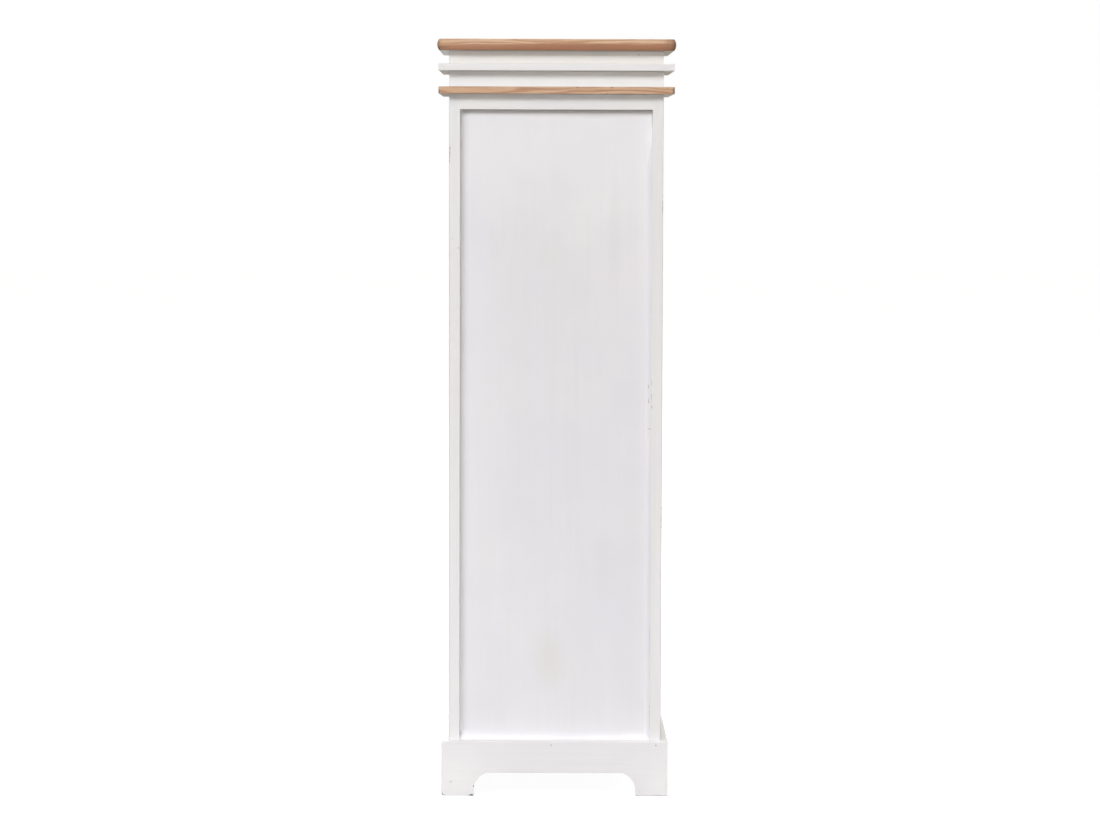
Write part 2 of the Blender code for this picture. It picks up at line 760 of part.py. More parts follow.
def make_door_rail(name, bottom, top, groove_below, groove_above):
    """A crosspiece with stub tenons in the stiles' grooves and grooves for the panels."""
    half_low = DOOR_LEFT + STILE_WIDTH + JOINT_GAP
    half_high = DOOR_RIGHT - STILE_WIDTH - JOINT_GAP
    rail = box_between((half_low, FRONT, bottom), (half_high, DOOR_BACK, top))
    reach = DOOR_GROOVE_DEPTH - JOINT_GAP
    add_box(
        rail,
        (DOOR_LEFT + STILE_WIDTH - reach, DOOR_GROOVE_FRONT + JOINT_GAP, bottom + DOOR_GROOVE_DEPTH),
        (DOOR_RIGHT - STILE_WIDTH + reach, DOOR_GROOVE_BACK - JOINT_GAP, top - DOOR_GROOVE_DEPTH),
    )
    if groove_below:
        cut_box(
            rail,
            (half_low - OVERRUN, DOOR_GROOVE_FRONT, bottom - OVERRUN),
            (half_high + OVERRUN, DOOR_GROOVE_BACK, bottom + DOOR_GROOVE_DEPTH),
        )
    if groove_above:
        cut_box(
            rail,
            (half_low - OVERRUN, DOOR_GROOVE_FRONT, top - DOOR_GROOVE_DEPTH),
            (half_high + OVERRUN, DOOR_GROOVE_BACK, top + OVERRUN),
        )
    return as_part(rail, name, WHITE_PAINT)


def make_door_panel(name, opening_bottom, opening_top):
    """A fielded panel: a thin tongue all round, a slope, and a raised flat field."""
    reach = DOOR_GROOVE_DEPTH - JOINT_GAP
    low = (DOOR_LEFT + STILE_WIDTH - reach, DOOR_GROOVE_FRONT + JOINT_GAP, opening_bottom - reach)
    high = (DOOR_RIGHT - STILE_WIDTH + reach, DOOR_GROOVE_BACK - JOINT_GAP, opening_top + reach)
    panel = box_between(low, high)
    work = bmesh.new()
    work.from_mesh(panel.data)
    front = [face for face in work.faces if face.normal.y < -abs(face.normal.x) - abs(face.normal.z)]
    bmesh.ops.inset_region(work, faces=front, thickness=reach + FIELD_MARGIN, use_even_offset=True)
    bmesh.ops.inset_region(
        work, faces=front, thickness=FIELD_SLOPE, depth=FIELD_RAISE, use_even_offset=True
    )
    work.to_mesh(panel.data)
    work.free()
    return as_part(panel, name, WHITE_PAINT)


def make_hinge_leaf(name, bottom, plate_low, plate_high, first_knuckle):
    """A leaf of a butt hinge: a plate and every second knuckle, in one piece."""
    leaf = box_between(
        (plate_low, FRONT, bottom),
        (plate_high, FRONT + HINGE_LEAF_DEPTH, bottom + HINGE_LENGTH),
    )
    pitch = HINGE_LENGTH / HINGE_KNUCKLES
    for number in range(first_knuckle, HINGE_KNUCKLES, 2):
        low = bottom + number * pitch + JOINT_GAP / 2
        high = bottom + (number + 1) * pitch - JOINT_GAP / 2
        add_box(leaf, (plate_low, HINGE_AXIS_Y, low), (plate_high, FRONT + HINGE_LEAF_THICKNESS, high))
        barrel = upright_cylinder(
            HINGE_KNUCKLE_RADIUS, low, high, HINGE_AXIS_X, HINGE_AXIS_Y, HINGE_SIDES
        )
        place_as_cutter(leaf, barrel, "UNION")
    bore = upright_cylinder(
        HINGE_PIN_RADIUS + HINGE_PIN_CLEARANCE,
        bottom - OVERRUN, bottom + HINGE_LENGTH + OVERRUN,
        HINGE_AXIS_X, HINGE_AXIS_Y, HINGE_SIDES,
    )
    place_as_cutter(leaf, bore, "DIFFERENCE")
    return as_part(leaf, name, STEEL)


def make_hinge_pin(name, bottom):
    """A pin with a flat button at each end."""
    low = bottom - JOINT_GAP
    high = bottom + HINGE_LENGTH + JOINT_GAP
    pin = upright_cylinder(
        HINGE_PIN_RADIUS, low - HINGE_PIN_HEAD_HEIGHT, high + HINGE_PIN_HEAD_HEIGHT,
        HINGE_AXIS_X, HINGE_AXIS_Y, HINGE_SIDES,
    )
    heads = ((low - HINGE_PIN_HEAD_HEIGHT, low), (high, high + HINGE_PIN_HEAD_HEIGHT))
    for head_low, head_high in heads:
        head = upright_cylinder(
            HINGE_PIN_HEAD_RADIUS, head_low, head_high, HINGE_AXIS_X, HINGE_AXIS_Y, HINGE_SIDES
        )
        place_as_cutter(pin, head, "UNION")
    return as_part(pin, name, STEEL)


def make_hinge(name, bottom):
    """Leaf on the cabinet, leaf on the door and pin. Returns the leaf that the door carries."""
    frame_seat = -HALF_INSIDE - HINGE_MORTISE + JOINT_GAP
    make_hinge_leaf(name + "_frame_leaf", bottom, frame_seat, frame_seat + HINGE_LEAF_THICKNESS, 0)
    make_hinge_pin(name + "_pin", bottom)
    door_seat = DOOR_LEFT + HINGE_MORTISE - JOINT_GAP
    return make_hinge_leaf(name + "_door_leaf", bottom, door_seat - HINGE_LEAF_THICKNESS, door_seat, 1)


def make_catch():
    """A magnetic catch under the divider rail. Returns its strike plate, which the door carries."""
    middle = HALF_INSIDE - CATCH_OFFSET
    top = OPENING_TOP - JOINT_GAP
    strike_back = DOOR_BACK + JOINT_GAP + STRIKE_THICKNESS
    catch_front = strike_back + JOINT_GAP
    catch = box_between(
        (middle - CATCH_LENGTH / 2, catch_front, top - CATCH_HEIGHT),
        (middle + CATCH_LENGTH / 2, catch_front + CATCH_DEPTH, top),
    )
    ease_edges(catch, CATCH_EASE, all_edges)
    as_part(catch, "magnetic_catch", WHITE_PLASTIC)
    strike_top = top - STRIKE_DROP
    strike = box_between(
        (middle - STRIKE_LENGTH / 2, DOOR_BACK + JOINT_GAP, strike_top - STRIKE_HEIGHT),
        (middle + STRIKE_LENGTH / 2, strike_back, strike_top),
    )
    return as_part(strike, "catch_strike_plate", STEEL)


def make_door():
    """A stub-tenoned frame round two fielded panels, with hinges, strike plate and knob."""
    inner_left = DOOR_LEFT + STILE_WIDTH
    inner_right = DOOR_RIGHT - STILE_WIDTH
    hinge_stile = make_stile("door_hinge_stile", DOOR_LEFT, inner_left, inner_left, 1)
    leaf_back = FRONT + HINGE_LEAF_DEPTH + JOINT_GAP
    for bottom in (HINGE_LOW, HINGE_HIGH):
        cut_box(
            hinge_stile,
            (DOOR_LEFT - OVERRUN, FRONT - OVERRUN, bottom - JOINT_GAP),
            (DOOR_LEFT + HINGE_MORTISE, leaf_back, bottom + HINGE_LENGTH + JOINT_GAP),
        )
    knob_x = DOOR_RIGHT - STILE_WIDTH / 2
    knob_stile = make_stile("door_knob_stile", inner_right, DOOR_RIGHT, inner_right, -1)
    bore_for_bolt(knob_stile, knob_x, DOOR_MIDDLE, DOOR_THICKNESS)
    middle_bottom = DOOR_MIDDLE - DOOR_MIDDLE_RAIL / 2
    middle_top = DOOR_MIDDLE + DOOR_MIDDLE_RAIL / 2
    pieces = [
        hinge_stile,
        knob_stile,
        make_door_rail("door_bottom_rail", DOOR_BOTTOM, DOOR_BOTTOM + DOOR_BOTTOM_RAIL, False, True),
        make_door_rail("door_middle_rail", middle_bottom, middle_top, True, True),
        make_door_rail("door_top_rail", DOOR_TOP - DOOR_TOP_RAIL, DOOR_TOP, True, False),
        make_door_panel("door_lower_panel", DOOR_BOTTOM + DOOR_BOTTOM_RAIL, middle_bottom),
        make_door_panel("door_upper_panel", middle_top, DOOR_TOP - DOOR_TOP_RAIL),
        make_hinge("lower_hinge", HINGE_LOW),
        make_hinge("upper_hinge", HINGE_HIGH),
        make_catch(),
        make_knob("door_knob", knob_x, DOOR_MIDDLE),
        make_knob_bolt("door_knob_bolt", knob_x, DOOR_MIDDLE, DOOR_THICKNESS),
    ]
    hang_on(pieces, "door_axis", (HINGE_AXIS_X, HINGE_AXIS_Y, DOOR_BOTTOM))


# Colour, roughness and metallic value of each finish
WHITE_PAINT = ((0.80, 0.79, 0.79), 0.55, 0)
NATURAL_WOOD = ((0.50, 0.29, 0.17), 0.50, 0)
BARE_WOOD = ((0.72, 0.58, 0.40), 0.65, 0)
STEEL = ((0.55, 0.54, 0.52), 0.35, 1)
WHITE_PLASTIC = ((0.85, 0.85, 0.84), 0.40, 0)

clear_scene()
bpy.context.scene.collection.children.link(CABINET)
bpy.context.scene.collection.children.link(CUTTERS)
make_cornice()
make_plinth()
make_corner_blocks()
make_carcass()
make_shelves()
make_drawer_guides()
make_drawer()
make_door()
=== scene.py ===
"""Looks of the storage cabinet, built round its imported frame.

Every shown board, knob and hinge is a finer copy of its CAD solid, with eased
edges and a procedural material. The camera stands behind the cabinet, as in
the photograph, so +X is on the picture's left. Lengths are in metres.
"""

import json
import math
import bmesh
import bpy
from mathutils import Matrix, Quaternion, Vector, noise


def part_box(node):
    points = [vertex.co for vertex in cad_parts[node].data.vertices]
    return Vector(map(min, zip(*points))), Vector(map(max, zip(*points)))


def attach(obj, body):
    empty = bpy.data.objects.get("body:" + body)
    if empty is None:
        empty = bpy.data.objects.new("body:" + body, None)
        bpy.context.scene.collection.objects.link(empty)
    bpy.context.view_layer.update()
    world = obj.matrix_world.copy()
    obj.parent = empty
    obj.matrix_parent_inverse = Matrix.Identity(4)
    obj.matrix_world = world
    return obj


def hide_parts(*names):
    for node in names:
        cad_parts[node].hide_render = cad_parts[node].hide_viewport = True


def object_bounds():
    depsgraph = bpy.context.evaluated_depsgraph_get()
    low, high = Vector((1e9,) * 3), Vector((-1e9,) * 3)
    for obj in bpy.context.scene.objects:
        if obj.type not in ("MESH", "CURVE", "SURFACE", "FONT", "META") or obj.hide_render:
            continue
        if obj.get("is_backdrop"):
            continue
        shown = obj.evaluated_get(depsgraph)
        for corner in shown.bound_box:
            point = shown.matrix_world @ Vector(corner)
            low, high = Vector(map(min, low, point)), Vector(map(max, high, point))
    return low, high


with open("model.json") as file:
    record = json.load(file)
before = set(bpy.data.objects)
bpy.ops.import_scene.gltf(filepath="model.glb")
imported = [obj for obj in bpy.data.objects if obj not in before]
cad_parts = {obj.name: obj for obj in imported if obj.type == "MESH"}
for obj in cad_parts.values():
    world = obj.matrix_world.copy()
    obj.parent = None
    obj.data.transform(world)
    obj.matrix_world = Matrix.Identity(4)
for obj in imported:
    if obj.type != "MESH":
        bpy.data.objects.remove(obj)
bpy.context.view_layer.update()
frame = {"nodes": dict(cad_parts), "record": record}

NODES = frame["nodes"]
SCENE = bpy.context.scene
BODY_OF = {
    node: body for body, nodes in frame["record"]["behaviour"]["bodies"].items() for node in nodes
}

# Faces seen from behind, which the patches of stain and of painted light and shade, the marks,
# filler and nails lie on
PANEL_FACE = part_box("back_panel")[1].y
FRAME_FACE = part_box("side_board_left")[1].y
PLINTH_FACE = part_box("plinth_back")[1].y
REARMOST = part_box("top_board")[1].y
PLINTH_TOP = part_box("plinth_back")[1].z
HALF_INSIDE = -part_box("side_board_left")[1].x

# Corners nearer than WELD are one. The angles tell flat, fielded and sharp edges apart.
WELD = 0.00001
FLAT_ANGLE = math.radians(1)
FIELD_ANGLE = math.radians(5)
SHARP_ANGLE = math.radians(40)


# Node trees


LEVEL = (0.94, 0.98)  # How straight up or down a face looks as it turns level


class Nodes:
    """A node tree, built node by node. A value is a number, a colour or another node's output."""

    def __init__(self, tree):
        self.tree = tree

    def feed(self, socket, value):
        if isinstance(value, bpy.types.NodeSocket):
            self.tree.links.new(value, socket)
        elif socket.type == "RGBA":
            socket.default_value = (*value, 1)
        else:
            socket.default_value = value

    def add(self, kind, inputs=(), output=0, **settings):
        """Adds a node, feeds it, and returns one of its outputs."""
        node = self.tree.nodes.new("ShaderNode" + kind)
        for name, value in settings.items():
            setattr(node, name, value)
        for name, value in dict(inputs).items():
            self.feed(node.inputs[name], value)
        return node.outputs[output]

    def calc(self, operation, *values):
        return self.add("Math", dict(enumerate(values)), operation=operation)

    def vector(self, operation, *values):
        return self.add("VectorMath", dict(enumerate(values)), operation=operation)

    def length(self, vector):
        return self.add("VectorMath", {0: vector}, output="Value", operation="LENGTH")

    def parts(self, vector):
        """A vector's x, y and z."""
        node = self.tree.nodes.new("ShaderNodeSeparateXYZ")
        self.feed(node.inputs[0], vector)
        return tuple(node.outputs)

    def spread(self, value, low, high, to_low=0.0, to_high=1.0):
        """Takes low..high to to_low..to_high, and holds the ends."""
        inputs = {
            "Value": value,
            "From Min": low,
            "From Max": high,
            "To Min": to_low,
            "To Max": to_high,
        }
        return self.add("MapRange", inputs)

    def mix(self, share, first, second):
        return self.add("Mix", {0: share, 6: first, 7: second}, output=2, data_type="RGBA")

    def seen(self):
        """1 for what the camera sees, straight or in gloss or glass, and 0 for diffuse light."""
        ray = self.tree.nodes.new("ShaderNodeLightPath").outputs
        straight_or_gloss = self.calc("MAXIMUM", ray["Is Camera Ray"], ray["Is Glossy Ray"])
        return self.calc("MAXIMUM", straight_or_gloss, ray["Is Transmission Ray"])


class Shading(Nodes):
    """One material and what its textures need to know of the object."""

    def __init__(self, name):
        self.material = bpy.data.materials.new(name)
        self.material.use_nodes = True
        super().__init__(self.material.node_tree)
        self.surface = self.tree.nodes["Principled BSDF"]

    def here(self):
        """The point on the object."""
        return self.add("TexCoord", output="Object")

    def own(self, name):
        """A vector that dress() gave to the object."""
        kind = {"attribute_type": "OBJECT", "attribute_name": name}
        return self.add("Attribute", output="Vector", **kind)

    def place(self):
        """The point on the object, moved by the object's own shift, so that no two boards match."""
        return self.vector("ADD", self.here(), self.own("shift"))

    def facing(self, axis):
        """How much a surface faces along an axis of the object, from -1 to 1."""
        return self.parts(self.add("TexCoord", output="Normal"))["xyz".index(axis)]

    def underside(self):
        """1 on faces that look straight down, and 0 elsewhere."""
        return self.spread(self.facing("z"), -LEVEL[1], -LEVEL[0], 1.0, 0.0)

    def upper_side(self):
        """1 on faces that look straight up, and 0 elsewhere."""
        return self.spread(self.facing("z"), *LEVEL)

    def edge_distance(self):
        """How far a point of a board's surface is from the board's nearest edge.

        That is the middle one of its distances from the board's faces along x, y and z.
        """
        here = self.here()
        below = self.vector("SUBTRACT", here, self.own("low"))
        above = self.vector("SUBTRACT", self.own("high"), here)
        x, y, z = self.parts(self.vector("MINIMUM", below, above))
        inner = self.calc("MINIMUM", self.calc("MAXIMUM", x, y), z)
        return self.calc("MAXIMUM", self.calc("MINIMUM", x, y), inner)

    def apart(self, centre, radii):
        """How far a point is from a spot's middle, where 1 is the spot's own rim."""
        offset = self.vector("SUBTRACT", self.here(), centre)
        return self.length(self.vector("DIVIDE", offset, radii))

    def noise(self, where, scale, detail=2.0, roughness=0.5, distortion=0.0):
        inputs = {
            "Vector": where,
            "Scale": scale,
            "Detail": detail,
            "Roughness": roughness,
            "Distortion": distortion,
        }
        return self.add("TexNoise", inputs)

    def grain(self, where, axis, across, along, **settings):
        """Noise that is drawn out along an axis."""
        scale = tuple(along if name == axis else across for name in "xyz")
        drawn = self.add("Mapping", {"Vector": where, "Scale": scale})
        return self.noise(drawn, 1.0, **settings)

    def relief(self, *layers):
        """Bumps on top of each other, from pairs of a height and how deep it goes."""
        normal = None
        for height, depth in layers:
            inputs = {"Height": height, "Distance": depth, "Strength": 1.0}
            if normal is not None:
                inputs["Normal"] = normal
            normal = self.add("Bump", inputs)
        return normal

    def finish(self, **inputs):
        for name, value in inputs.items():
            self.feed(self.surface.inputs[name.replace("_", " ")], value)
        return self.material


def darker(colour, share):
    return tuple(share * part for part in colour)


# Paint


WHITE = (0.805, 0.795, 0.790)
COOL_WHITE = (0.785, 0.775, 0.795)
BANDED_WHITE = (0.735, 0.720, 0.735)
GRAINED_WHITE = (0.700, 0.680, 0.660)
# Faces that look down: a thin matt coating, darker and warmer as painted shade
SHADED_UNDERSIDE = (0.615, 0.570, 0.515)
CHIP = (0.300, 0.200, 0.140)
GREY_CHIP = (0.400, 0.385, 0.360)
# The colour of small dark spots and lines; those on the wooden ends are partly painted shade
DARK_SPOT = (0.110, 0.085, 0.070)
PAINT_GLOSS = (0.52, 0.66)
EDGE_WEAR = 130.0  # How fast wear ends inwards from an edge, per metre


def painted_wood(
    name, axis, colours=(WHITE, COOL_WHITE), stains_and_light=(), marks=(), bared=CHIP, shaded_thin_below=False
):
    """White satin paint over wood whose grain runs along an axis and shows faintly through it.

    A stain is a soft patch in the paint, and some patches are painted light or shade. A mark is a
    spot where the paint gives way to what is bared there, as at a chip. shaded_thin_below leaves
    the underside with one thin matt coating, given a darker, warmer tint as painted shade.
    """
    paint = Shading(name)
    place = paint.place()
    clouds = paint.noise(place, 5.0, detail=3.0, roughness=0.55)
    bands = paint.grain(
        place, axis, across=24.0, along=1.3, detail=3.0, roughness=0.55, distortion=0.2
    )
    grain = paint.grain(
        place, axis, across=190.0, along=5.0, detail=5.0, roughness=0.62, distortion=0.3
    )
    strokes = paint.grain(place, axis, across=900.0, along=26.0, detail=3.0, roughness=0.6)
    orange_peel = paint.noise(place, 650.0)
    tint = paint.mix(paint.spread(clouds, 0.38, 0.62), *colours)
    tint = paint.mix(paint.spread(bands, 0.42, 0.70, 0.0, 0.30), tint, BANDED_WHITE)
    tint = paint.mix(paint.spread(grain, 0.50, 0.78, 0.0, 0.20), tint, GRAINED_WHITE)
    # Mixes in every patch of stain, of painted light and of painted shade
    for centre, radii, strength, colour in stains_and_light:
        uneven = paint.spread(clouds, 0.3, 0.7, -0.35, 0.35)
        distance = paint.calc("ADD", paint.apart(centre, radii), uneven)
        tint = paint.mix(paint.spread(distance, 0.2, 1.1, strength, 0.0), tint, colour)
    # Painted shade: faces that look down get the darker, warmer underside tint
    if shaded_thin_below:
        below = paint.underside()
        tint = paint.mix(below, tint, SHADED_UNDERSIDE)
    flecks = paint.noise(place, 420.0, detail=3.0, roughness=0.6)
    patches = paint.spread(paint.noise(place, 28.0), 0.45, 0.7, -0.12, 0.06)
    inwards = paint.calc("MULTIPLY", paint.edge_distance(), EDGE_WEAR)
    worn = paint.calc("SUBTRACT", paint.calc("ADD", flecks, patches), inwards)
    chips_and_marks = paint.spread(worn, 0.66, 0.70)
    for centre, radii in marks:
        ragged = paint.spread(flecks, 0.3, 0.7, -0.8, 0.8)
        distance = paint.calc("ADD", paint.apart(centre, radii), ragged)
        chips_and_marks = paint.calc("MAXIMUM", chips_and_marks, paint.spread(distance, 0.6, 0.9, 1.0, 0.0))
    tint = paint.mix(chips_and_marks, tint, bared)
    relief = paint.relief(
        (bands, 0.0009),
        (grain, 0.00025),
        (strokes, 0.00006),
        (orange_peel, 0.00004),
        (paint.calc("SUBTRACT", 1.0, chips_and_marks), 0.0002),
    )
    gloss = paint.spread(paint.noise(place, 60.0, detail=3.0), 0.3, 0.7, *PAINT_GLOSS)
    if shaded_thin_below:
        gloss = paint.calc("MAXIMUM", gloss, below)
    return paint.finish(Base_Color=tint, Roughness=gloss, Normal=relief)


# Wood


LOG_HEART = (-0.11, -0.13, -0.31)
RING_DENSITY = 150.0
FULL_TURN = 6.2832
WOOD_GLOSS = (0.58, 0.74)

# The top board's own marks and its painted light and shade, with places along X and its streak's
# level along Z
STAVE_WIDTH = 0.086
STAVE_JUMP = (1.37, 0.11, 0.53)
SEAM_WIDTH = 0.0005
# A reddish colour, partly the wood's own and partly painted shade
STREAK_AND_SHADE_COLOUR = (0.395, 0.178, 0.096)
STREAK_TOP = 1.2716
STREAK_SOFTNESS = 0.0028
STREAK_FADE = (0.02, 0.15)
# Partly painted shade: the top board darkens towards its ends and their rims
DARK_END = (0.1760, 0.1860)
DARK_RIM = (0.1900, 0.1970)
LEFT_SIDE = (-0.05, 0.05)
LEFT_END_LESS = 0.014
LEFT_RIM_MORE = 0.009
# Where along X the top board's underside turns white, as painted light
LIT_UNDERSIDE_SPAN = (0.150, 0.180)


def year_rings(wood, place, axis, warping):
    """The rings of a log that runs along an axis, as a wave from 0 to 1.

    warping is how far they wander from round.
    """
    warp = wood.grain(place, axis, across=22.0, along=3.2, detail=3.0)
    flatten = tuple(0.0 if name == axis else 1.0 for name in "xyz")
    outwards = wood.vector("MULTIPLY", wood.vector("SUBTRACT", place, LOG_HEART), flatten)
    count = wood.calc("MULTIPLY", wood.length(outwards), RING_DENSITY)
    count = wood.calc("ADD", count, wood.calc("MULTIPLY", warp, warping))
    return wood.spread(wood.calc("SINE", wood.calc("MULTIPLY", count, FULL_TURN)), -1.0, 1.0)


def into_staves(wood, place):
    """The place, moved from stave to stave of a glued board, and how far it is from a seam."""
    _, y, _ = wood.parts(wood.here())
    number = wood.calc("ADD", wood.calc("DIVIDE", y, STAVE_WIDTH), 0.5)
    stave = wood.calc("FLOOR", number)
    jump = wood.add("VectorMath", {0: STAVE_JUMP, "Scale": stave}, operation="SCALE")
    seam = wood.calc("MULTIPLY", wood.calc("PINGPONG", number, 0.5), STAVE_WIDTH)
    return wood.vector("ADD", place, jump), seam


def low_streak_and_shade(wood, place, axis):
    """How strong the top board's low, darker streak is, which fades to the left. It is partly the
    wood's own colour and partly painted shade on the lower half of the rounded edge.
    """
    x, _, z = wood.parts(wood.here())
    wander = wood.grain(place, axis, across=60.0, along=7.0, detail=4.0, roughness=0.6)
    wander = wood.spread(wander, 0.3, 0.7, -STREAK_SOFTNESS, STREAK_SOFTNESS)
    low, high = STREAK_TOP - STREAK_SOFTNESS / 2, STREAK_TOP + STREAK_SOFTNESS / 2
    streak = wood.spread(wood.calc("ADD", z, wander), low, high, 1.0, 0.0)
    return wood.calc("MULTIPLY", streak, wood.spread(x, *STREAK_FADE, 1.0, 0.8))


def darken_ends(wood, tint, streaks, dark):
    """Darkens the top board towards both ends, less so at the left one, and most at their rims.
    The darkening is partly the end wood's own colour and partly painted shade on the rounded ends.
    """
    x, _, _ = wood.parts(wood.here())
    end = wood.calc("ABSOLUTE", x)
    end = wood.calc("SUBTRACT", end, wood.spread(x, *LEFT_SIDE, 0.0, LEFT_END_LESS))
    end = wood.calc("ADD", end, wood.spread(streaks, 0.3, 0.7, -0.003, 0.003))
    tint = wood.mix(wood.spread(end, *DARK_END, 0.0, 0.65), tint, darker(dark, 0.85))
    rim = wood.calc("ADD", end, wood.spread(x, *LEFT_SIDE, 0.0, LEFT_RIM_MORE))
    return wood.mix(wood.spread(rim, *DARK_RIM, 0.0, 0.90), tint, darker(dark, 0.40))


def oiled_wood(
    name, axis, colours, end_grain=0.8, warping=9.0, painted="", spots=(), top_board=False
):
    """Bare or oiled wood cut from a log that runs along an axis, with rings, streaks and pores.

    colours are a light, a middle and a dark one. painted names the level faces that are painted
    white, "below" or "both", and tints those below darker and warmer as painted shade. top_board
    glues the board from staves, adds its low streak and dark ends, both partly painted shade, and
    whitens its underside at the left end as painted light.
    """
    light, middle, dark = colours
    wood = Shading(name)
    place = wood.place()
    if top_board:
        place, seam = into_staves(wood, place)
    ring = year_rings(wood, place, axis, warping)
    streaks = wood.grain(
        place, axis, across=210.0, along=4.5, detail=6.0, roughness=0.65, distortion=0.4
    )
    fibres = wood.grain(place, axis, across=1500.0, along=30.0, detail=3.0, roughness=0.6)
    pores = wood.spread(wood.grain(place, axis, across=2600.0, along=90.0), 0.62, 0.72)
    tone = wood.calc("ADD", wood.calc("MULTIPLY", ring, 0.45), streaks)
    tint = wood.mix(wood.spread(tone, 0.40, 0.85), light, middle)
    tint = wood.mix(wood.spread(tone, 0.78, 1.15), tint, dark)
    tint = wood.mix(wood.spread(fibres, 0.45, 0.75, 0.0, 0.35), tint, middle)
    if top_board:
        # Partly the wood's own streak, partly painted shade on the rounded edge's lower half
        streak_and_shade_tint = wood.mix(wood.spread(streaks, 0.35, 0.65), STREAK_AND_SHADE_COLOUR, dark)
        tint = wood.mix(low_streak_and_shade(wood, place, axis), tint, streak_and_shade_tint)
    tint = wood.mix(wood.calc("MULTIPLY", pores, 0.4), tint, dark)
    end = wood.calc("ABSOLUTE", wood.facing(axis))
    ringed = wood.spread(wood.calc("ADD", ring, fibres), 0.7, 1.4)
    across_grain = wood.mix(0.45, wood.mix(ringed, middle, dark), darker(dark, 0.40))
    tint = wood.mix(wood.spread(end, 0.45, 0.85, 0.0, end_grain), tint, across_grain)
    if top_board:
        tint = darken_ends(wood, tint, streaks, dark)
        tint = wood.mix(wood.spread(seam, 0.0, SEAM_WIDTH, 0.6, 0.0), tint, dark)
    for centre, radii in spots:
        spot = wood.spread(wood.apart(centre, radii), 0.6, 1.1, 0.85, 0.0)
        tint = wood.mix(spot, tint, DARK_SPOT)
    gloss = wood.spread(streaks, 0.3, 0.7, *WOOD_GLOSS)
    if painted:
        # Painted shade below, turning to painted light at the top board's left end
        underside_shade_and_light = SHADED_UNDERSIDE
        if top_board:
            x, _, _ = wood.parts(wood.here())
            underside_shade_and_light = wood.mix(wood.spread(x, *LIT_UNDERSIDE_SPAN), SHADED_UNDERSIDE, WHITE)
        matt = wood.underside()
        tint = wood.mix(matt, tint, underside_shade_and_light)
        if painted == "both":
            above = wood.upper_side()
            tint = wood.mix(above, tint, WHITE)
            matt = wood.calc("ADD", matt, wood.calc("MULTIPLY", above, 0.6))
        gloss = wood.calc("MAXIMUM", gloss, matt)
    relief = wood.relief(
        (streaks, 0.0002), (wood.calc("SUBTRACT", 1.0, pores), 0.00012), (fibres, 0.00005)
    )
    return wood.finish(Base_Color=tint, Roughness=gloss, Normal=relief)


# Fittings


def steel():
    """Bright zinc-plated steel with drawing lines and a little dirt."""
    metal = Shading("hinge_steel")
    place = metal.place()
    lines = metal.grain(place, "z", across=1400.0, along=60.0, detail=3.0)
    dirt = metal.spread(metal.noise(place, 160.0, detail=3.0), 0.4, 0.7)
    return metal.finish(
        Base_Color=metal.mix(dirt, (0.600, 0.590, 0.570), (0.430, 0.410, 0.380)),
        Roughness=metal.spread(lines, 0.3, 0.7, 0.26, 0.42),
        Metallic=1.0,
        Normal=metal.relief((lines, 0.00002)),
    )


def nail_paint():
    """Thin paint on a nail's head, with rust coming through it."""
    paint = Shading("nail_paint")
    rust = paint.noise(paint.place(), 900.0, detail=3.0, roughness=0.6)
    return paint.finish(
        Base_Color=paint.mix(
            paint.spread(rust, 0.35, 0.65), (0.520, 0.480, 0.440), (0.330, 0.270, 0.210)
        ),
        Roughness=0.6,
        Normal=paint.relief((rust, 0.0001)),
    )


def plastic():
    """White moulded plastic with a fine moulded grain."""
    moulded = Shading("white_plastic")
    place = moulded.place()
    skin = moulded.noise(place, 1800.0)
    clouds = moulded.spread(moulded.noise(place, 90.0), 0.4, 0.6)
    return moulded.finish(
        Base_Color=moulded.mix(clouds, (0.800, 0.800, 0.790), (0.770, 0.765, 0.740)),
        Roughness=moulded.spread(skin, 0.3, 0.7, 0.34, 0.42),
        Normal=moulded.relief((skin, 0.00002)),
    )


# The cabinet's own paints and woods. A stain, or a patch of painted light or shade, is (centre,
# radii, strength, colour), and a mark or a spot is (centre, radii). An ENDLESS radius reaches over
# the whole board.


ENDLESS = 9.0
DEEP = 0.05
YELLOWED = (0.660, 0.630, 0.580)
# A bluish tint that stands in for reflected light
BLUISH_REFLECTION = (0.790, 0.795, 0.825)

PANEL_COLOURS = ((0.792, 0.777, 0.812), (0.757, 0.748, 0.796))
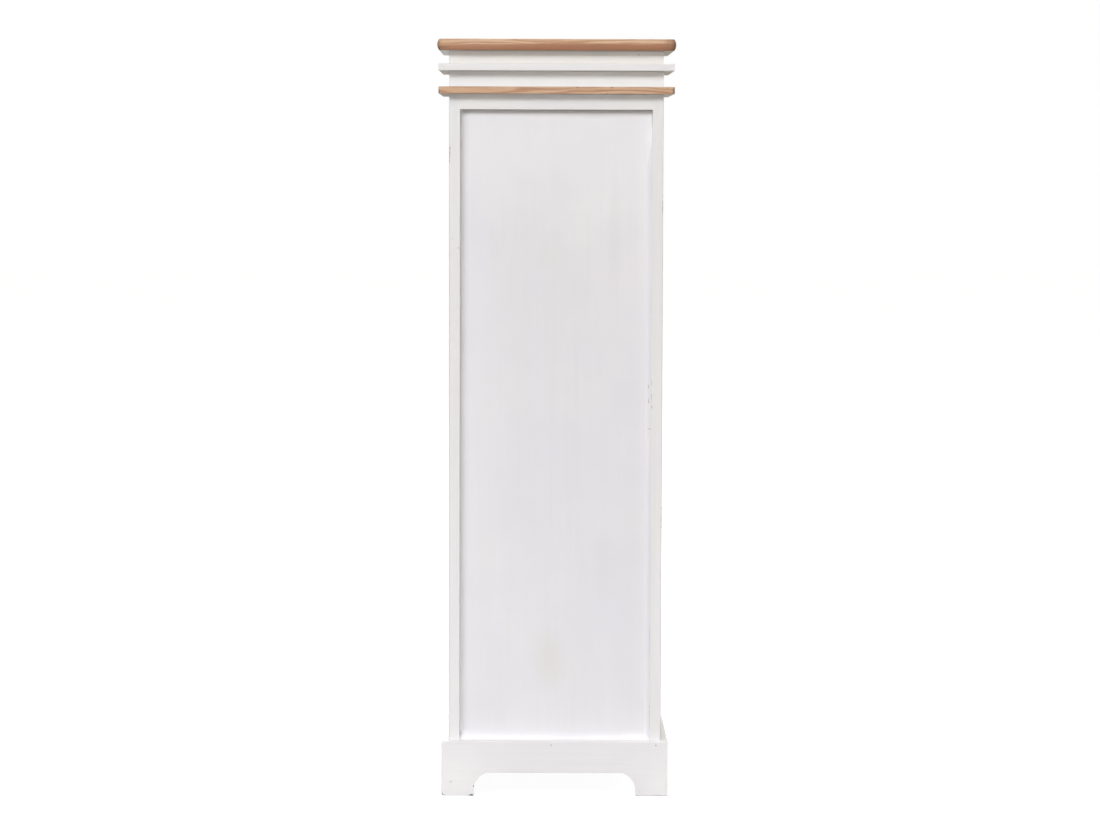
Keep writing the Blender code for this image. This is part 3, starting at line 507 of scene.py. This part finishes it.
# Patches of stain on the back panel, and its painted light and shade
PANEL_STAINS_LIGHT_AND_SHADE = (
    # Painted light: whiter towards the top
    ((0.0000, PANEL_FACE, 1.0900), (ENDLESS, DEEP, 0.1300), 0.35, (0.870, 0.880, 0.885)),
    # Shade in the right joint, in a line and a band under the rail, and in the left corner
    ((-0.1612, PANEL_FACE, 1.1460), (0.0012, DEEP, 0.0200), 0.60, (0.350, 0.340, 0.330)),
    ((0.0000, PANEL_FACE, 1.1625), (0.9000, DEEP, 0.0024), 0.75, (0.300, 0.285, 0.265)),
    ((0.0000, PANEL_FACE, 1.1620), (0.9000, DEEP, 0.0110), 0.44, (0.450, 0.435, 0.415)),
    ((0.1600, PANEL_FACE, 1.1600), (0.0140, DEEP, 0.0130), 0.40, (0.400, 0.390, 0.370)),
    # Painted shade beside the left upright, and a painted highlight along it
    ((0.1540, PANEL_FACE, 0.6200), (0.0080, DEEP, ENDLESS), 0.30, (0.600, 0.600, 0.615)),
    ((0.1615, PANEL_FACE, 0.6200), (0.0045, DEEP, ENDLESS), 0.60, (0.950, 0.945, 0.955)),
    # Yellowed and greyed patches, and a bluish band of painted reflected light
    ((0.0090, PANEL_FACE, 0.2340), (0.0360, DEEP, 0.0620), 0.34, YELLOWED),
    ((-0.0870, PANEL_FACE, 0.3900), (0.0300, DEEP, 0.0800), 0.14, YELLOWED),
    ((0.0200, PANEL_FACE, 0.9150), (0.0220, DEEP, 0.0300), 0.15, YELLOWED),
    ((-0.1000, PANEL_FACE, 0.9500), (0.0120, DEEP, 0.0900), 0.20, (0.690, 0.680, 0.690)),
    ((0.1250, PANEL_FACE, 0.6200), (0.0400, DEEP, 0.6200), 0.55, BLUISH_REFLECTION),
)
JOINT_MARKS = (
    ((-0.1570, 0.1220, 0.6970), (0.0006, 0.0030, 0.0040)),
    ((-0.1572, 0.1220, 0.6720), (0.0006, 0.0030, 0.0060)),
    ((-0.1590, 0.1250, 0.6246), (0.0045, 0.0100, 0.0006)),
    ((-0.1609, 0.1285, 0.2700), (0.0004, 0.0030, 0.0280)),
    ((-0.1609, 0.1285, 0.1340), (0.0004, 0.0030, 0.0280)),
)
# Painted light: a whiter band along the ledge's filler
LEDGE_PAINTED_LIGHT = (
    ((0.0000, PANEL_FACE, 0.0930), (ENDLESS, DEEP, 0.0085), 1.00, (0.900, 0.890, 0.902)),
)

STILE_COLOURS = ((0.812, 0.806, 0.818), (0.792, 0.788, 0.812))
JOINT_STILE_STAINS = (
    ((-0.1660, FRAME_FACE, 0.6200), (0.0045, DEEP, 1.2000), 0.30, (0.745, 0.738, 0.705)),
)
JOINT_STILE_MARKS = (
    ((-0.1622, FRAME_FACE, 0.7030), (0.0006, 0.0030, 0.0050)),
    ((-0.1622, FRAME_FACE, 0.6770), (0.0006, 0.0030, 0.0090)),
    ((-0.1622, FRAME_FACE, 0.6620), (0.0007, 0.0030, 0.0030)),
    ((-0.1800, FRAME_FACE, 1.0000), (0.0012, 0.0030, 0.0160)),
    ((-0.1800, FRAME_FACE, 0.4760), (0.0012, 0.0030, 0.0220)),
)
PLAIN_STILE_MARKS = (
    ((0.1802, FRAME_FACE, 1.0870), (0.0020, 0.0060, 0.0140)),
    ((0.1740, FRAME_FACE, 0.9450), (0.0009, 0.0030, 0.0009)),
    ((0.1650, FRAME_FACE, 0.9300), (0.0009, 0.0030, 0.0009)),
)

FOOT_COLOURS = ((0.812, 0.799, 0.820), (0.797, 0.783, 0.815))
# Painted light: both feet turn whiter towards the floor
LIT_FOOT_WHITE = (0.888, 0.877, 0.895)
FOOT_PAINTED_LIGHT = (
    ((0.1750, PLINTH_FACE, 0.0100), (0.0700, DEEP, 0.0850), 0.80, LIT_FOOT_WHITE),
    ((-0.1750, PLINTH_FACE, 0.0100), (0.0700, DEEP, 0.0850), 0.80, LIT_FOOT_WHITE),
)
# Dark spots and a dark line at the left foot's inner bottom corner
FOOT_MARKS = (
    ((0.1405, PLINTH_FACE, 0.0002), (0.0062, 0.0060, 0.0026)),
    ((0.1362, PLINTH_FACE, 0.0165), (0.0019, 0.0060, 0.0028)),
    ((0.1360, PLINTH_FACE, 0.0070), (0.0011, 0.0060, 0.0110)),
)
# A warmer white, painted reflection of light off the wooden top above the band
BAND_COLOURS_WITH_REFLECTION = ((0.790, 0.762, 0.732), (0.780, 0.755, 0.735))

OAK = ((0.640, 0.425, 0.278), (0.548, 0.330, 0.203), (0.352, 0.170, 0.094))
TOP_OAK = ((0.640, 0.452, 0.302), *OAK[1:])
PINE = ((0.700, 0.560, 0.380), (0.620, 0.450, 0.270), (0.450, 0.280, 0.150))
TOP_SPOTS = (
    # A dark patch low on the left end, partly painted shade, and a thin dark crack near it
    ((0.1995, 0.1400, 1.2625), (0.0045, 0.0500, 0.0045)),
    ((0.1900, REARMOST, 1.2658), (0.0110, 0.0500, 0.0006)),
)
CORNICE_SPOTS = (
    ((-0.0350, REARMOST, 1.1995), (0.0020, 0.0050, 0.0013)),
    ((-0.0930, REARMOST, 1.1993), (0.0024, 0.0050, 0.0016)),
    ((-0.0850, REARMOST, 1.1893), (0.0018, 0.0050, 0.0010)),
    # Darker ends, the right one larger: partly the wood's own colour, partly painted shade
    ((-0.2000, REARMOST, 1.1930), (0.0066, 0.0120, 0.0100)),
    ((0.2000, REARMOST, 1.1915), (0.0046, 0.0120, 0.0080)),
)

PAINT = {axis: painted_wood("white_paint_" + axis, axis) for axis in "xyz"}
PANEL_PAINT = painted_wood("white_paint_panel", "z", PANEL_COLOURS, stains_and_light=PANEL_STAINS_LIGHT_AND_SHADE)
JOINT_STILE_PAINT = painted_wood(
    "white_paint_joint_stile",
    "z",
    STILE_COLOURS,
    stains_and_light=JOINT_STILE_STAINS,
    marks=JOINT_STILE_MARKS,
    bared=GREY_CHIP,
)
JOINT_PAINT = painted_wood(
    "white_paint_joint", "z", PANEL_COLOURS, marks=JOINT_MARKS, bared=GREY_CHIP
)
LEDGE_PAINT = painted_wood("white_paint_ledge", "x", PANEL_COLOURS, stains_and_light=LEDGE_PAINTED_LIGHT)
PLAIN_STILE_PAINT = painted_wood(
    "white_paint_plain_stile", "z", STILE_COLOURS, marks=PLAIN_STILE_MARKS
)
FOOT_PAINT = painted_wood(
    "white_paint_foot", "x", FOOT_COLOURS, stains_and_light=FOOT_PAINTED_LIGHT, marks=FOOT_MARKS, bared=DARK_SPOT
)
BAND_PAINT = painted_wood("white_paint_band", "x", BAND_COLOURS_WITH_REFLECTION)
# Its underside is tinted darker as painted shade
CORNICE_PAINT = painted_wood("white_paint_cornice", "x", shaded_thin_below=True)
TOP_WOOD = oiled_wood(
    "natural_wood_top", "x", TOP_OAK, painted="below", spots=TOP_SPOTS, top_board=True
)
CORNICE_WOOD = oiled_wood(
    "natural_wood_cornice", "x", OAK, painted="both", spots=CORNICE_SPOTS
)
KNOB_WOOD = oiled_wood("natural_wood_knob", "y", OAK, end_grain=0.15, warping=3.0)
BARE = {axis: oiled_wood("bare_wood_" + axis, axis, PINE, end_grain=0.3) for axis in "xyz"}
STEEL = steel()
PLASTIC = plastic()
NAIL_PAINT = nail_paint()


# Finer copies of the CAD solids


EASE = 0.0007
SLIGHT_EASE = 0.0005
LEAST_EASE = 0.0004
EASE_SEGMENTS = 2
EASED_LENGTH = 12  # An eased edge is at least so many eases long
JOINT_REACH = (0.0010, 0.00003)


def shift_of(name):
    """A shift of the grain that depends on the name alone."""
    number = sum((place + 1) * ord(letter) for place, letter in enumerate(name))
    return [number * 0.173 % 3.1, number * 0.291 % 2.7, number * 0.417 % 3.7]


def dress(piece, material, low, high):
    """Gives a piece its material and what that reads from the object."""
    piece.data.materials.clear()
    piece.data.materials.append(material)
    piece["shift"] = shift_of(piece.name)
    piece["low"] = list(low)
    piece["high"] = list(high)


def as_piece(name, work, material, body, box=None):
    """Turns a bmesh into a shaded piece that rides on a body."""
    for face in work.faces:
        face.smooth = True
    for edge in work.edges:
        if edge.is_manifold and edge.calc_face_angle() > SHARP_ANGLE:
            edge.smooth = False
    mesh = bpy.data.meshes.new(name)
    work.to_mesh(mesh)
    work.free()
    piece = bpy.data.objects.new(name, mesh)
    SCENE.collection.objects.link(piece)
    flat = piece.modifiers.new("flat_faces", "WEIGHTED_NORMAL")
    flat.keep_sharp = True
    low, high = box or (Vector(piece.bound_box[0]), Vector(piece.bound_box[6]))
    dress(piece, material, low, high)
    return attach(piece, body)


def cut_off(work, point, direction):
    """Cuts off what lies beyond a plane, and closes the cut."""
    geometry = work.verts[:] + work.edges[:] + work.faces[:]
    cut = bmesh.ops.bisect_plane(
        work, geom=geometry, dist=WELD, plane_co=point, plane_no=direction, clear_outer=True
    )
    rim = [part for part in cut["geom_cut"] if isinstance(part, bmesh.types.BMEdge)]
    bmesh.ops.edgeloop_fill(work, edges=rim)


def ease_edges(work, ease):
    """Rounds the long sharp outer edges."""
    sharp = [
        edge
        for edge in work.edges
        if edge.is_manifold
        and edge.is_convex
        and edge.calc_face_angle() > SHARP_ANGLE
        and edge.calc_length() > EASED_LENGTH * ease
    ]
    bmesh.ops.bevel(
        work,
        geom=sharp,
        offset=ease,
        segments=EASE_SEGMENTS,
        profile=0.5,
        affect="EDGES",
        clamp_overlap=True,
    )


def finer(node, material, ease=EASE, cuts=(), reach=None, fielded=False):
    """A copy of a CAD solid with its long outer edges eased and smooth shading on its curves.

    reach makes it longer at both ends along X, and moves it along Y, to close a painted joint. A
    fielded board keeps the edges of its flat slopes crisp.
    """
    work = bmesh.new()
    work.from_mesh(NODES[node].data)
    bmesh.ops.remove_doubles(work, verts=work.verts, dist=WELD)
    bmesh.ops.dissolve_limit(work, angle_limit=FLAT_ANGLE, verts=work.verts, edges=work.edges)
    for point, direction in cuts:
        cut_off(work, point, direction)
    if fielded:
        for edge in work.edges:
            edge.smooth = not FIELD_ANGLE < edge.calc_face_angle() < SHARP_ANGLE
    if reach:
        for vertex in work.verts:
            vertex.co += Vector((math.copysign(reach[0], vertex.co.x), reach[1], 0))
    if ease:
        ease_edges(work, ease)
    piece = as_piece(node + "_finish", work, material, BODY_OF[node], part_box(node))
    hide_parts(node)
    return piece


# The left foot's worn corner: three cuts round a small radius, deepest on the back face
WORN_RADIUS = 0.011
WORN_STEPS = (20, 45, 70)
WORN_LEAN = Vector((0, 0.50, 0))
WORN_MIDDLE = Vector((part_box("plinth_back")[1].x - WORN_RADIUS, PLINTH_FACE, WORN_RADIUS))
WORN_CUTS = []
for degrees in WORN_STEPS:
    angle = math.radians(degrees)
    outwards = Vector((math.cos(angle), 0, -math.sin(angle)))
    WORN_CUTS.append((WORN_MIDDLE + WORN_RADIUS * outwards, (outwards + WORN_LEAN).normalized()))

PLAIN_BOARDS = {
    "x": (
        "back_bottom_rail", "bottom_board", "divider_rail", "front_top_rail",
        "door_bottom_rail", "door_middle_rail", "door_top_rail",
        "lower_band_back", "lower_band_front", "upper_band_front",
        "plinth_front", "shelf_1", "shelf_2", "shelf_3",
    ),
    "y": (
        "lower_band_left", "lower_band_right", "upper_band_left", "upper_band_right",
        "plinth_left",
    ),
    "z": ("door_hinge_stile", "door_knob_stile"),
}
FIELDED_BOARDS = {"drawer_front": "x", "door_lower_panel": "z", "door_upper_panel": "z"}
DRAWER_SIDES = (
    "drawer_side_left", "drawer_side_right", "drawer_runner_left", "drawer_runner_right",
    "drawer_kicker_left", "drawer_kicker_right",
)

for axis, nodes in PLAIN_BOARDS.items():
    for node in nodes:
        finer(node, PAINT[axis])
for node, axis in FIELDED_BOARDS.items():
    finer(node, PAINT[axis], fielded=True)
finer("back_panel", PANEL_PAINT, ease=0)
finer("white_cornice_board", CORNICE_PAINT)
finer("upper_band_back", BAND_PAINT)
finer("back_top_rail", PAINT["x"], LEAST_EASE, reach=JOINT_REACH)
finer("side_board_left", JOINT_STILE_PAINT, LEAST_EASE)
finer("side_board_right", PLAIN_STILE_PAINT, LEAST_EASE)
finer("plinth_back", FOOT_PAINT, cuts=WORN_CUTS)
finer("plinth_right", PAINT["y"], cuts=WORN_CUTS)
finer("top_board", TOP_WOOD, ease=0)
finer("wood_cornice_board", CORNICE_WOOD, ease=0)
for node in ("door_knob", "drawer_knob"):
    finer(node, KNOB_WOOD, ease=0)
for node in DRAWER_SIDES:
    finer(node, BARE["y"], SLIGHT_EASE)
for node in ("drawer_back", "drawer_bottom"):
    finer(node, BARE["x"], LEAST_EASE)
for node in sorted(NODES):
    is_hinge = "hinge_" in node and node.startswith(("lower", "upper"))
    if node.startswith("corner_block"):
        finer(node, BARE["z"], LEAST_EASE)
    if is_hinge or node.endswith(("bolt", "strike_plate")):
        finer(node, STEEL, ease=0)
finer("magnetic_catch", PLASTIC, ease=0)


# Filler


BEAD_STEP = 0.005
BEAD_ARC = 8
BEAD_ROOT = 0.0003
BEAD_FADE = 0.060
BEAD_WAVES = 28  # per metre
LUMP_HEIGHT = 0.00008
LUMP_WAVES = 240  # per metre
JOINT_TOP = 1.130
JOINT_SUNK = 0.0006
FILLED_CORNER = Vector((-HALF_INSIDE, PANEL_FACE, PLINTH_TOP))
OUTWARDS = Vector((0, 1, 0))


def skin(work, one, two):
    """Joins two loops of as many points with faces."""
    for place in range(len(one)):
        after = (place + 1) % len(one)
        work.faces.new((one[place], one[after], two[after], two[place]))


def bead(name, material, rise, run, length, wide, tall, uneven, bow, faded=False):
    """A bead of filler from the back panel's filled corner, as uneven as a finger leaves it.

    It follows run for its length. It reaches wide over the panel, along rise, and tall out of it.
    Its front is flat at a bow of 0, and meets both faces smoothly at 1. A faded bead thins out to
    nothing at its far end.
    """
    rise, run = Vector(rise), Vector(run)
    steps = round(length / BEAD_STEP)
    work = bmesh.new()
    rings = []
    for step in range(steps + 1):
        distance = length * step / steps
        middle = FILLED_CORNER + run * distance
        fade = min(1, (length - distance) / BEAD_FADE) if faded else 1
        wave = uneven * noise.noise(Vector((distance * BEAD_WAVES, 1.7, 0.3)))
        reach = wide * fade * (1 + wave)
        hollow = [(-BEAD_ROOT, -BEAD_ROOT)]
        for number in range(BEAD_ARC + 1):
            share = number / BEAD_ARC
            angle = math.pi / 2 * share
            along_rise = bow * (1 - math.sin(angle)) + (1 - bow) * (1 - share)
            along_out = bow * (1 - math.cos(angle)) + (1 - bow) * share
            lump = LUMP_HEIGHT * noise.noise(Vector((distance * LUMP_WAVES, number * 0.9, 7.7)))
            hollow.append((reach * along_rise + lump, tall * fade * along_out + lump))
        rings.append([work.verts.new(middle + rise * one + OUTWARDS * two) for one, two in hollow])
    for one, two in zip(rings, rings[1:]):
        skin(work, one, two)
    work.faces.new(rings[0])
    work.faces.new(rings[-1])
    bmesh.ops.recalc_face_normals(work, faces=work.faces)
    return as_piece(name, work, material, "cabinet")


bead(
    "joint_filler",
    JOINT_PAINT,
    rise=(1, 0, 0),
    run=(0, 0, 1),
    length=JOINT_TOP - PLINTH_TOP,
    wide=0.0085,
    tall=FRAME_FACE - PANEL_FACE - JOINT_SUNK,
    uneven=0.15,
    bow=0.45,
    faded=True,
)
bead(
    "ledge_filler",
    LEDGE_PAINT,
    rise=(0, 0, 1),
    run=(1, 0, 0),
    length=2 * HALF_INSIDE,
    wide=0.0150,
    tall=0.0095,
    uneven=0.06,
    bow=1.0,
)


# Nails, screws and pole plates


RING_SIDES = 20
HEAD_ROOT = 0.0006
NAIL_RADIUS = 0.0011
NAIL_PROUD = 0.00025
NAIL_DOME = ((1.0, 0.0), (0.9, 0.55), (0.6, 0.9), (0.25, 1.0))
NAILS = {
    "plinth_nails": (
        (0.006, PLINTH_FACE, 0.087),
        (0.176, PLINTH_FACE, 0.024),
        (-0.172, PLINTH_FACE, 0.087),
    ),
    "band_nail": ((-0.138, FRAME_FACE, 1.2545),),
}

# Shares of a screw's radius, apart from the rim's height, which is a share of what stands proud
SCREW_RIM = 0.4
SCREW_TOP = 0.86
SLOT_ARM = 0.56
SLOT_HALF = 0.14
SLOT_DEPTH = 0.4
SLOT_TAPER = 0.8

# A hinge leaf's screws: what share of its height they are up, and how far from its inner edge.
# For each leaf, its body, which way its screws face along X, and where its open face is.
LEAF_SCREWS = ((0.17, 0.0060), (0.50, 0.0090), (0.83, 0.0060))
LEAF_FACES = {"frame": ("cabinet", 1, -0.1617), "door": ("door", -1, -0.1603)}
LEAF_SCREW_TURN = 5
LEAF_SCREW_SIZE = (0.0022, 0.0003)
CATCH_SCREW_OFFSET = 0.0185
CATCH_SCREW_TURN = 0.3
CATCH_SCREW_SIZE = (0.0023, 0.0004)
STRIKE_SCREW_TURN = 0.9
STRIKE_SCREW_SIZE = (0.0017, 0.0001)
POLE_SIZE = Vector((0.030, 0.002, 0.0012))
POLE_SPACING = 0.0060
POLE_PROUD = 0.00015
BAR_EASE = 0.15  # As a share of a bar's thickness


def turned_to(place, direction, turn=0.0):
    """The matrix that takes +Z at the origin to a direction at a place."""
    track = Vector(direction).to_track_quat("Z", "Y").to_matrix().to_4x4()
    return Matrix.Translation(place) @ track @ Matrix.Rotation(turn, 4, "Z")


def merge(work, addition, where):
    """Moves a small mesh to its place and puts it in with the others."""
    bmesh.ops.recalc_face_normals(addition, faces=addition.faces)
    addition.transform(where)
    mesh = bpy.data.meshes.new("addition")
    addition.to_mesh(mesh)
    addition.free()
    work.from_mesh(mesh)
    bpy.data.meshes.remove(mesh)


def add_ring(work, radius, level):
    steps = [2 * math.pi * number / RING_SIDES for number in range(RING_SIDES)]
    return [
        work.verts.new((radius * math.cos(step), radius * math.sin(step), level)) for step in steps
    ]


def add_nail(work, where, radius, proud):
    """A nail's low domed head, at a matrix."""
    head = bmesh.new()
    rings = [add_ring(head, radius, -HEAD_ROOT)]
    for share, level in NAIL_DOME:
        rings.append(add_ring(head, radius * share, proud * level))
    for one, two in zip(rings, rings[1:]):
        skin(head, one, two)
    head.faces.new(rings[0])
    head.faces.new(rings[-1])
    merge(work, head, where)


def add_screw(work, where, radius, proud):
    """A countersunk screw's head with a cross slot, at a matrix."""
    head = bmesh.new()
    root = add_ring(head, radius, -HEAD_ROOT)
    rim = add_ring(head, radius, proud * SCREW_RIM)
    top = add_ring(head, radius * SCREW_TOP, proud)
    head.faces.new(root)
    skin(head, root, rim)
    skin(head, rim, top)
    arm, half = radius * SLOT_ARM, radius * SLOT_HALF
    corners = (
        (arm, -half), (arm, half), (half, half), (half, arm), (-half, arm), (-half, half),
        (-arm, half), (-arm, -half), (-half, -half), (-half, -arm), (half, -arm), (half, -half),
    )
    bottom = proud - radius * SLOT_DEPTH
    mouth = [head.verts.new((x, y, proud)) for x, y in corners]
    foot = [head.verts.new((x * SLOT_TAPER, y * SLOT_TAPER, bottom)) for x, y in corners]
    skin(head, mouth, foot)
    head.faces.new(foot)
    loops = []
    for loop in (top, mouth):
        loops += [head.edges.get((one, two)) for one, two in zip(loop, loop[1:] + loop[:1])]
    bmesh.ops.triangle_fill(head, edges=loops, use_beauty=True)
    merge(work, head, where)


def add_bar(work, middle, size):
    """A small bar with eased edges."""
    bar = bmesh.new()
    bmesh.ops.create_cube(bar, size=1)
    bmesh.ops.scale(bar, vec=size, verts=bar.verts)
    ease = BAR_EASE * min(size)
    bmesh.ops.bevel(
        bar, geom=bar.edges[:], offset=ease, segments=EASE_SEGMENTS, profile=0.5, affect="EDGES"
    )
    merge(work, bar, Matrix.Translation(middle))


def screws(name, body, direction, size, places):
    """One piece of screws that all face one way, from their places and turns."""
    work = bmesh.new()
    for place, turn in places:
        add_screw(work, turned_to(place, direction, turn), *size)
    as_piece(name, work, STEEL, body)


for name, places in NAILS.items():
    work = bmesh.new()
    for place in places:
        add_nail(work, turned_to(place, OUTWARDS), NAIL_RADIUS, NAIL_PROUD)
    as_piece(name, work, NAIL_PAINT, "cabinet")

for level in ("lower", "upper"):
    for side, (body, direction, face) in LEAF_FACES.items():
        low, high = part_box(f"{level}_hinge_{side}_leaf")
        places = [
            ((face, high.y - depth, low.z + share * (high.z - low.z)), share * LEAF_SCREW_TURN)
            for share, depth in LEAF_SCREWS
        ]
        name = f"{level}_hinge_{side}_screws"
        screws(name, body, (direction, 0, 0), LEAF_SCREW_SIZE, places)

low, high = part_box("magnetic_catch")
middle = (low + high) / 2
work = bmesh.new()
for level in (-POLE_SPACING / 2, POLE_SPACING / 2):
    place = (middle.x, low.y + POLE_SIZE.y / 2 - POLE_PROUD, middle.z + level)
    add_bar(work, place, POLE_SIZE)
as_piece("catch_pole_plates", work, STEEL, "cabinet")
places = [
    ((middle.x + offset, middle.y, low.z), CATCH_SCREW_TURN + offset)
    for offset in (-CATCH_SCREW_OFFSET, CATCH_SCREW_OFFSET)
]
screws("catch_screws", "cabinet", (0, 0, -1), CATCH_SCREW_SIZE, places)

low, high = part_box("catch_strike_plate")
place = ((low.x + high.x) / 2, high.y, (low.z + high.z) / 2)
screws("strike_plate_screw", "door", OUTWARDS, STRIKE_SCREW_SIZE, [(place, STRIKE_SCREW_TURN)])


# Floor, light and camera


FLOOR_SIZE = 60
FLOOR_LEVEL = -0.0005
FLOOR_COLOUR = (0.345, 0.330, 0.315)
FLOOR_SHADE = (0.180, 0.180, 0.180)
FLOOR_GLOW = 0.95
WORLD_COLOUR = (0.345, 0.310, 0.262)
KEY_COLOUR = (0.958, 0.982, 1.000)
FILL_COLOUR = (0.940, 0.970, 1.000)
MIDDLE = (0, 0, 0.65)
SENSOR_WIDTH = 36


def make_floor():
    """A pale floor that the camera sees as white paper with the object's soft shadow on it.

    It is clear from below.
    """
    bpy.ops.mesh.primitive_plane_add(size=FLOOR_SIZE, location=(0, 0, FLOOR_LEVEL))
    floor = bpy.context.active_object
    floor.name = "floor"
    paper = Shading("floor")
    matt = paper.add("BsdfDiffuse", {"Color": FLOOR_COLOUR})
    shade = paper.add("BsdfDiffuse", {"Color": FLOOR_SHADE})
    glow = paper.add("Emission", {"Color": (1, 1, 1), "Strength": FLOOR_GLOW})
    white = paper.add("AddShader", {0: shade, 1: glow})
    above = paper.add("MixShader", {0: paper.seen(), 1: matt, 2: white})
    clear = paper.add("BsdfTransparent", {"Color": (1, 1, 1)})
    from_below = paper.add("NewGeometry", output="Backfacing")
    whole = paper.add("MixShader", {0: from_below, 1: above, 2: clear})
    paper.feed(paper.tree.nodes["Material Output"].inputs["Surface"], whole)
    floor.data.materials.append(paper.material)
    floor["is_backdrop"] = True


def make_world(colour):
    """White for the camera, and an even, faintly warm grey light for the object."""
    world = bpy.data.worlds.new("studio")
    world.use_nodes = True
    SCENE.world = world
    sky = Nodes(world.node_tree)
    sky.tree.nodes.clear()
    light = sky.add("Background", {"Color": sky.mix(sky.seen(), colour, (1, 1, 1))})
    sky.feed(sky.tree.nodes.new("ShaderNodeOutputWorld").inputs["Surface"], light)


def make_lamp(name, place, target, size, power, colour=(1, 1, 1), degrees=180):
    """A soft box, so wide and so high, that looks at a point and shines into a cone of degrees."""
    lamp = bpy.data.lights.new(name, "AREA")
    lamp.shape = "RECTANGLE"
    lamp.size, lamp.size_y = size
    lamp.energy = power
    lamp.color = colour
    lamp.spread = math.radians(degrees)
    holder = bpy.data.objects.new(name, lamp)
    holder.location = place
    look = Vector(target) - Vector(place)
    holder.rotation_euler = look.to_track_quat("-Z", "Y").to_euler()
    holder.visible_camera = False
    SCENE.collection.objects.link(holder)


def make_camera(place, target, lens, roll):
    """A camera that looks at a point, turned a little about its line of sight.

    It has no shift, which would push the object out of the other views.
    """
    camera = bpy.data.cameras.new("camera")
    camera.lens = lens
    camera.sensor_width = SENSOR_WIDTH
    holder = bpy.data.objects.new("camera", camera)
    holder.location = place
    look = Vector(target) - Vector(place)
    holder.rotation_mode = "QUATERNION"
    holder.rotation_quaternion = look.to_track_quat("-Z", "Y") @ Quaternion((0, 0, 1), roll)
    SCENE.collection.objects.link(holder)
    SCENE.camera = holder


make_floor()
make_world(WORLD_COLOUR)
make_lamp("back_key", (3.0, 6.6, 5.2), MIDDLE, (5.0, 2.4), power=492, colour=KEY_COLOUR)
make_lamp("front_key", (2.8, -6.2, 4.8), MIDDLE, (4.0, 2.4), power=415, colour=KEY_COLOUR)
make_lamp("top_light", (0.3, 0.9, 6.0), (0, 0, 1.28), (3.5, 3.5), power=10)
make_lamp(
    "back_fill",
    (-0.1, 1.9, 0.12),
    (0, 0.14, 0),
    (1.0, 1.0),
    power=1.15,
    colour=FILL_COLOUR,
    degrees=60,
)
make_lamp(
    "foot_fill",
    (-0.05, 1.3, 0.05),
    (0, PLINTH_FACE, 0),
    (0.8, 0.08),
    power=0.06,
    colour=FILL_COLOUR,
    degrees=44,
)
make_lamp("cornice_fill", (-0.4, 5.0, 1.3), (0, 0, 1.7), (1.0, 1.0), power=0.6, degrees=24)
make_lamp("front_fill", (-0.3, -4.0, 0.3), (0, 0, 0.1), (1.6, 1.6), power=7, degrees=90)
make_lamp("side_fill", (-5.0, -0.2, 2.2), MIDDLE, (1.6, 1.6), power=125)
make_camera((0.0328, 6.15, 1.0744), (0.0095, 0.148, 0.6543), lens=116.87, roll=0.00307)
SCENE.view_settings.view_transform = "Standard"

low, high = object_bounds()
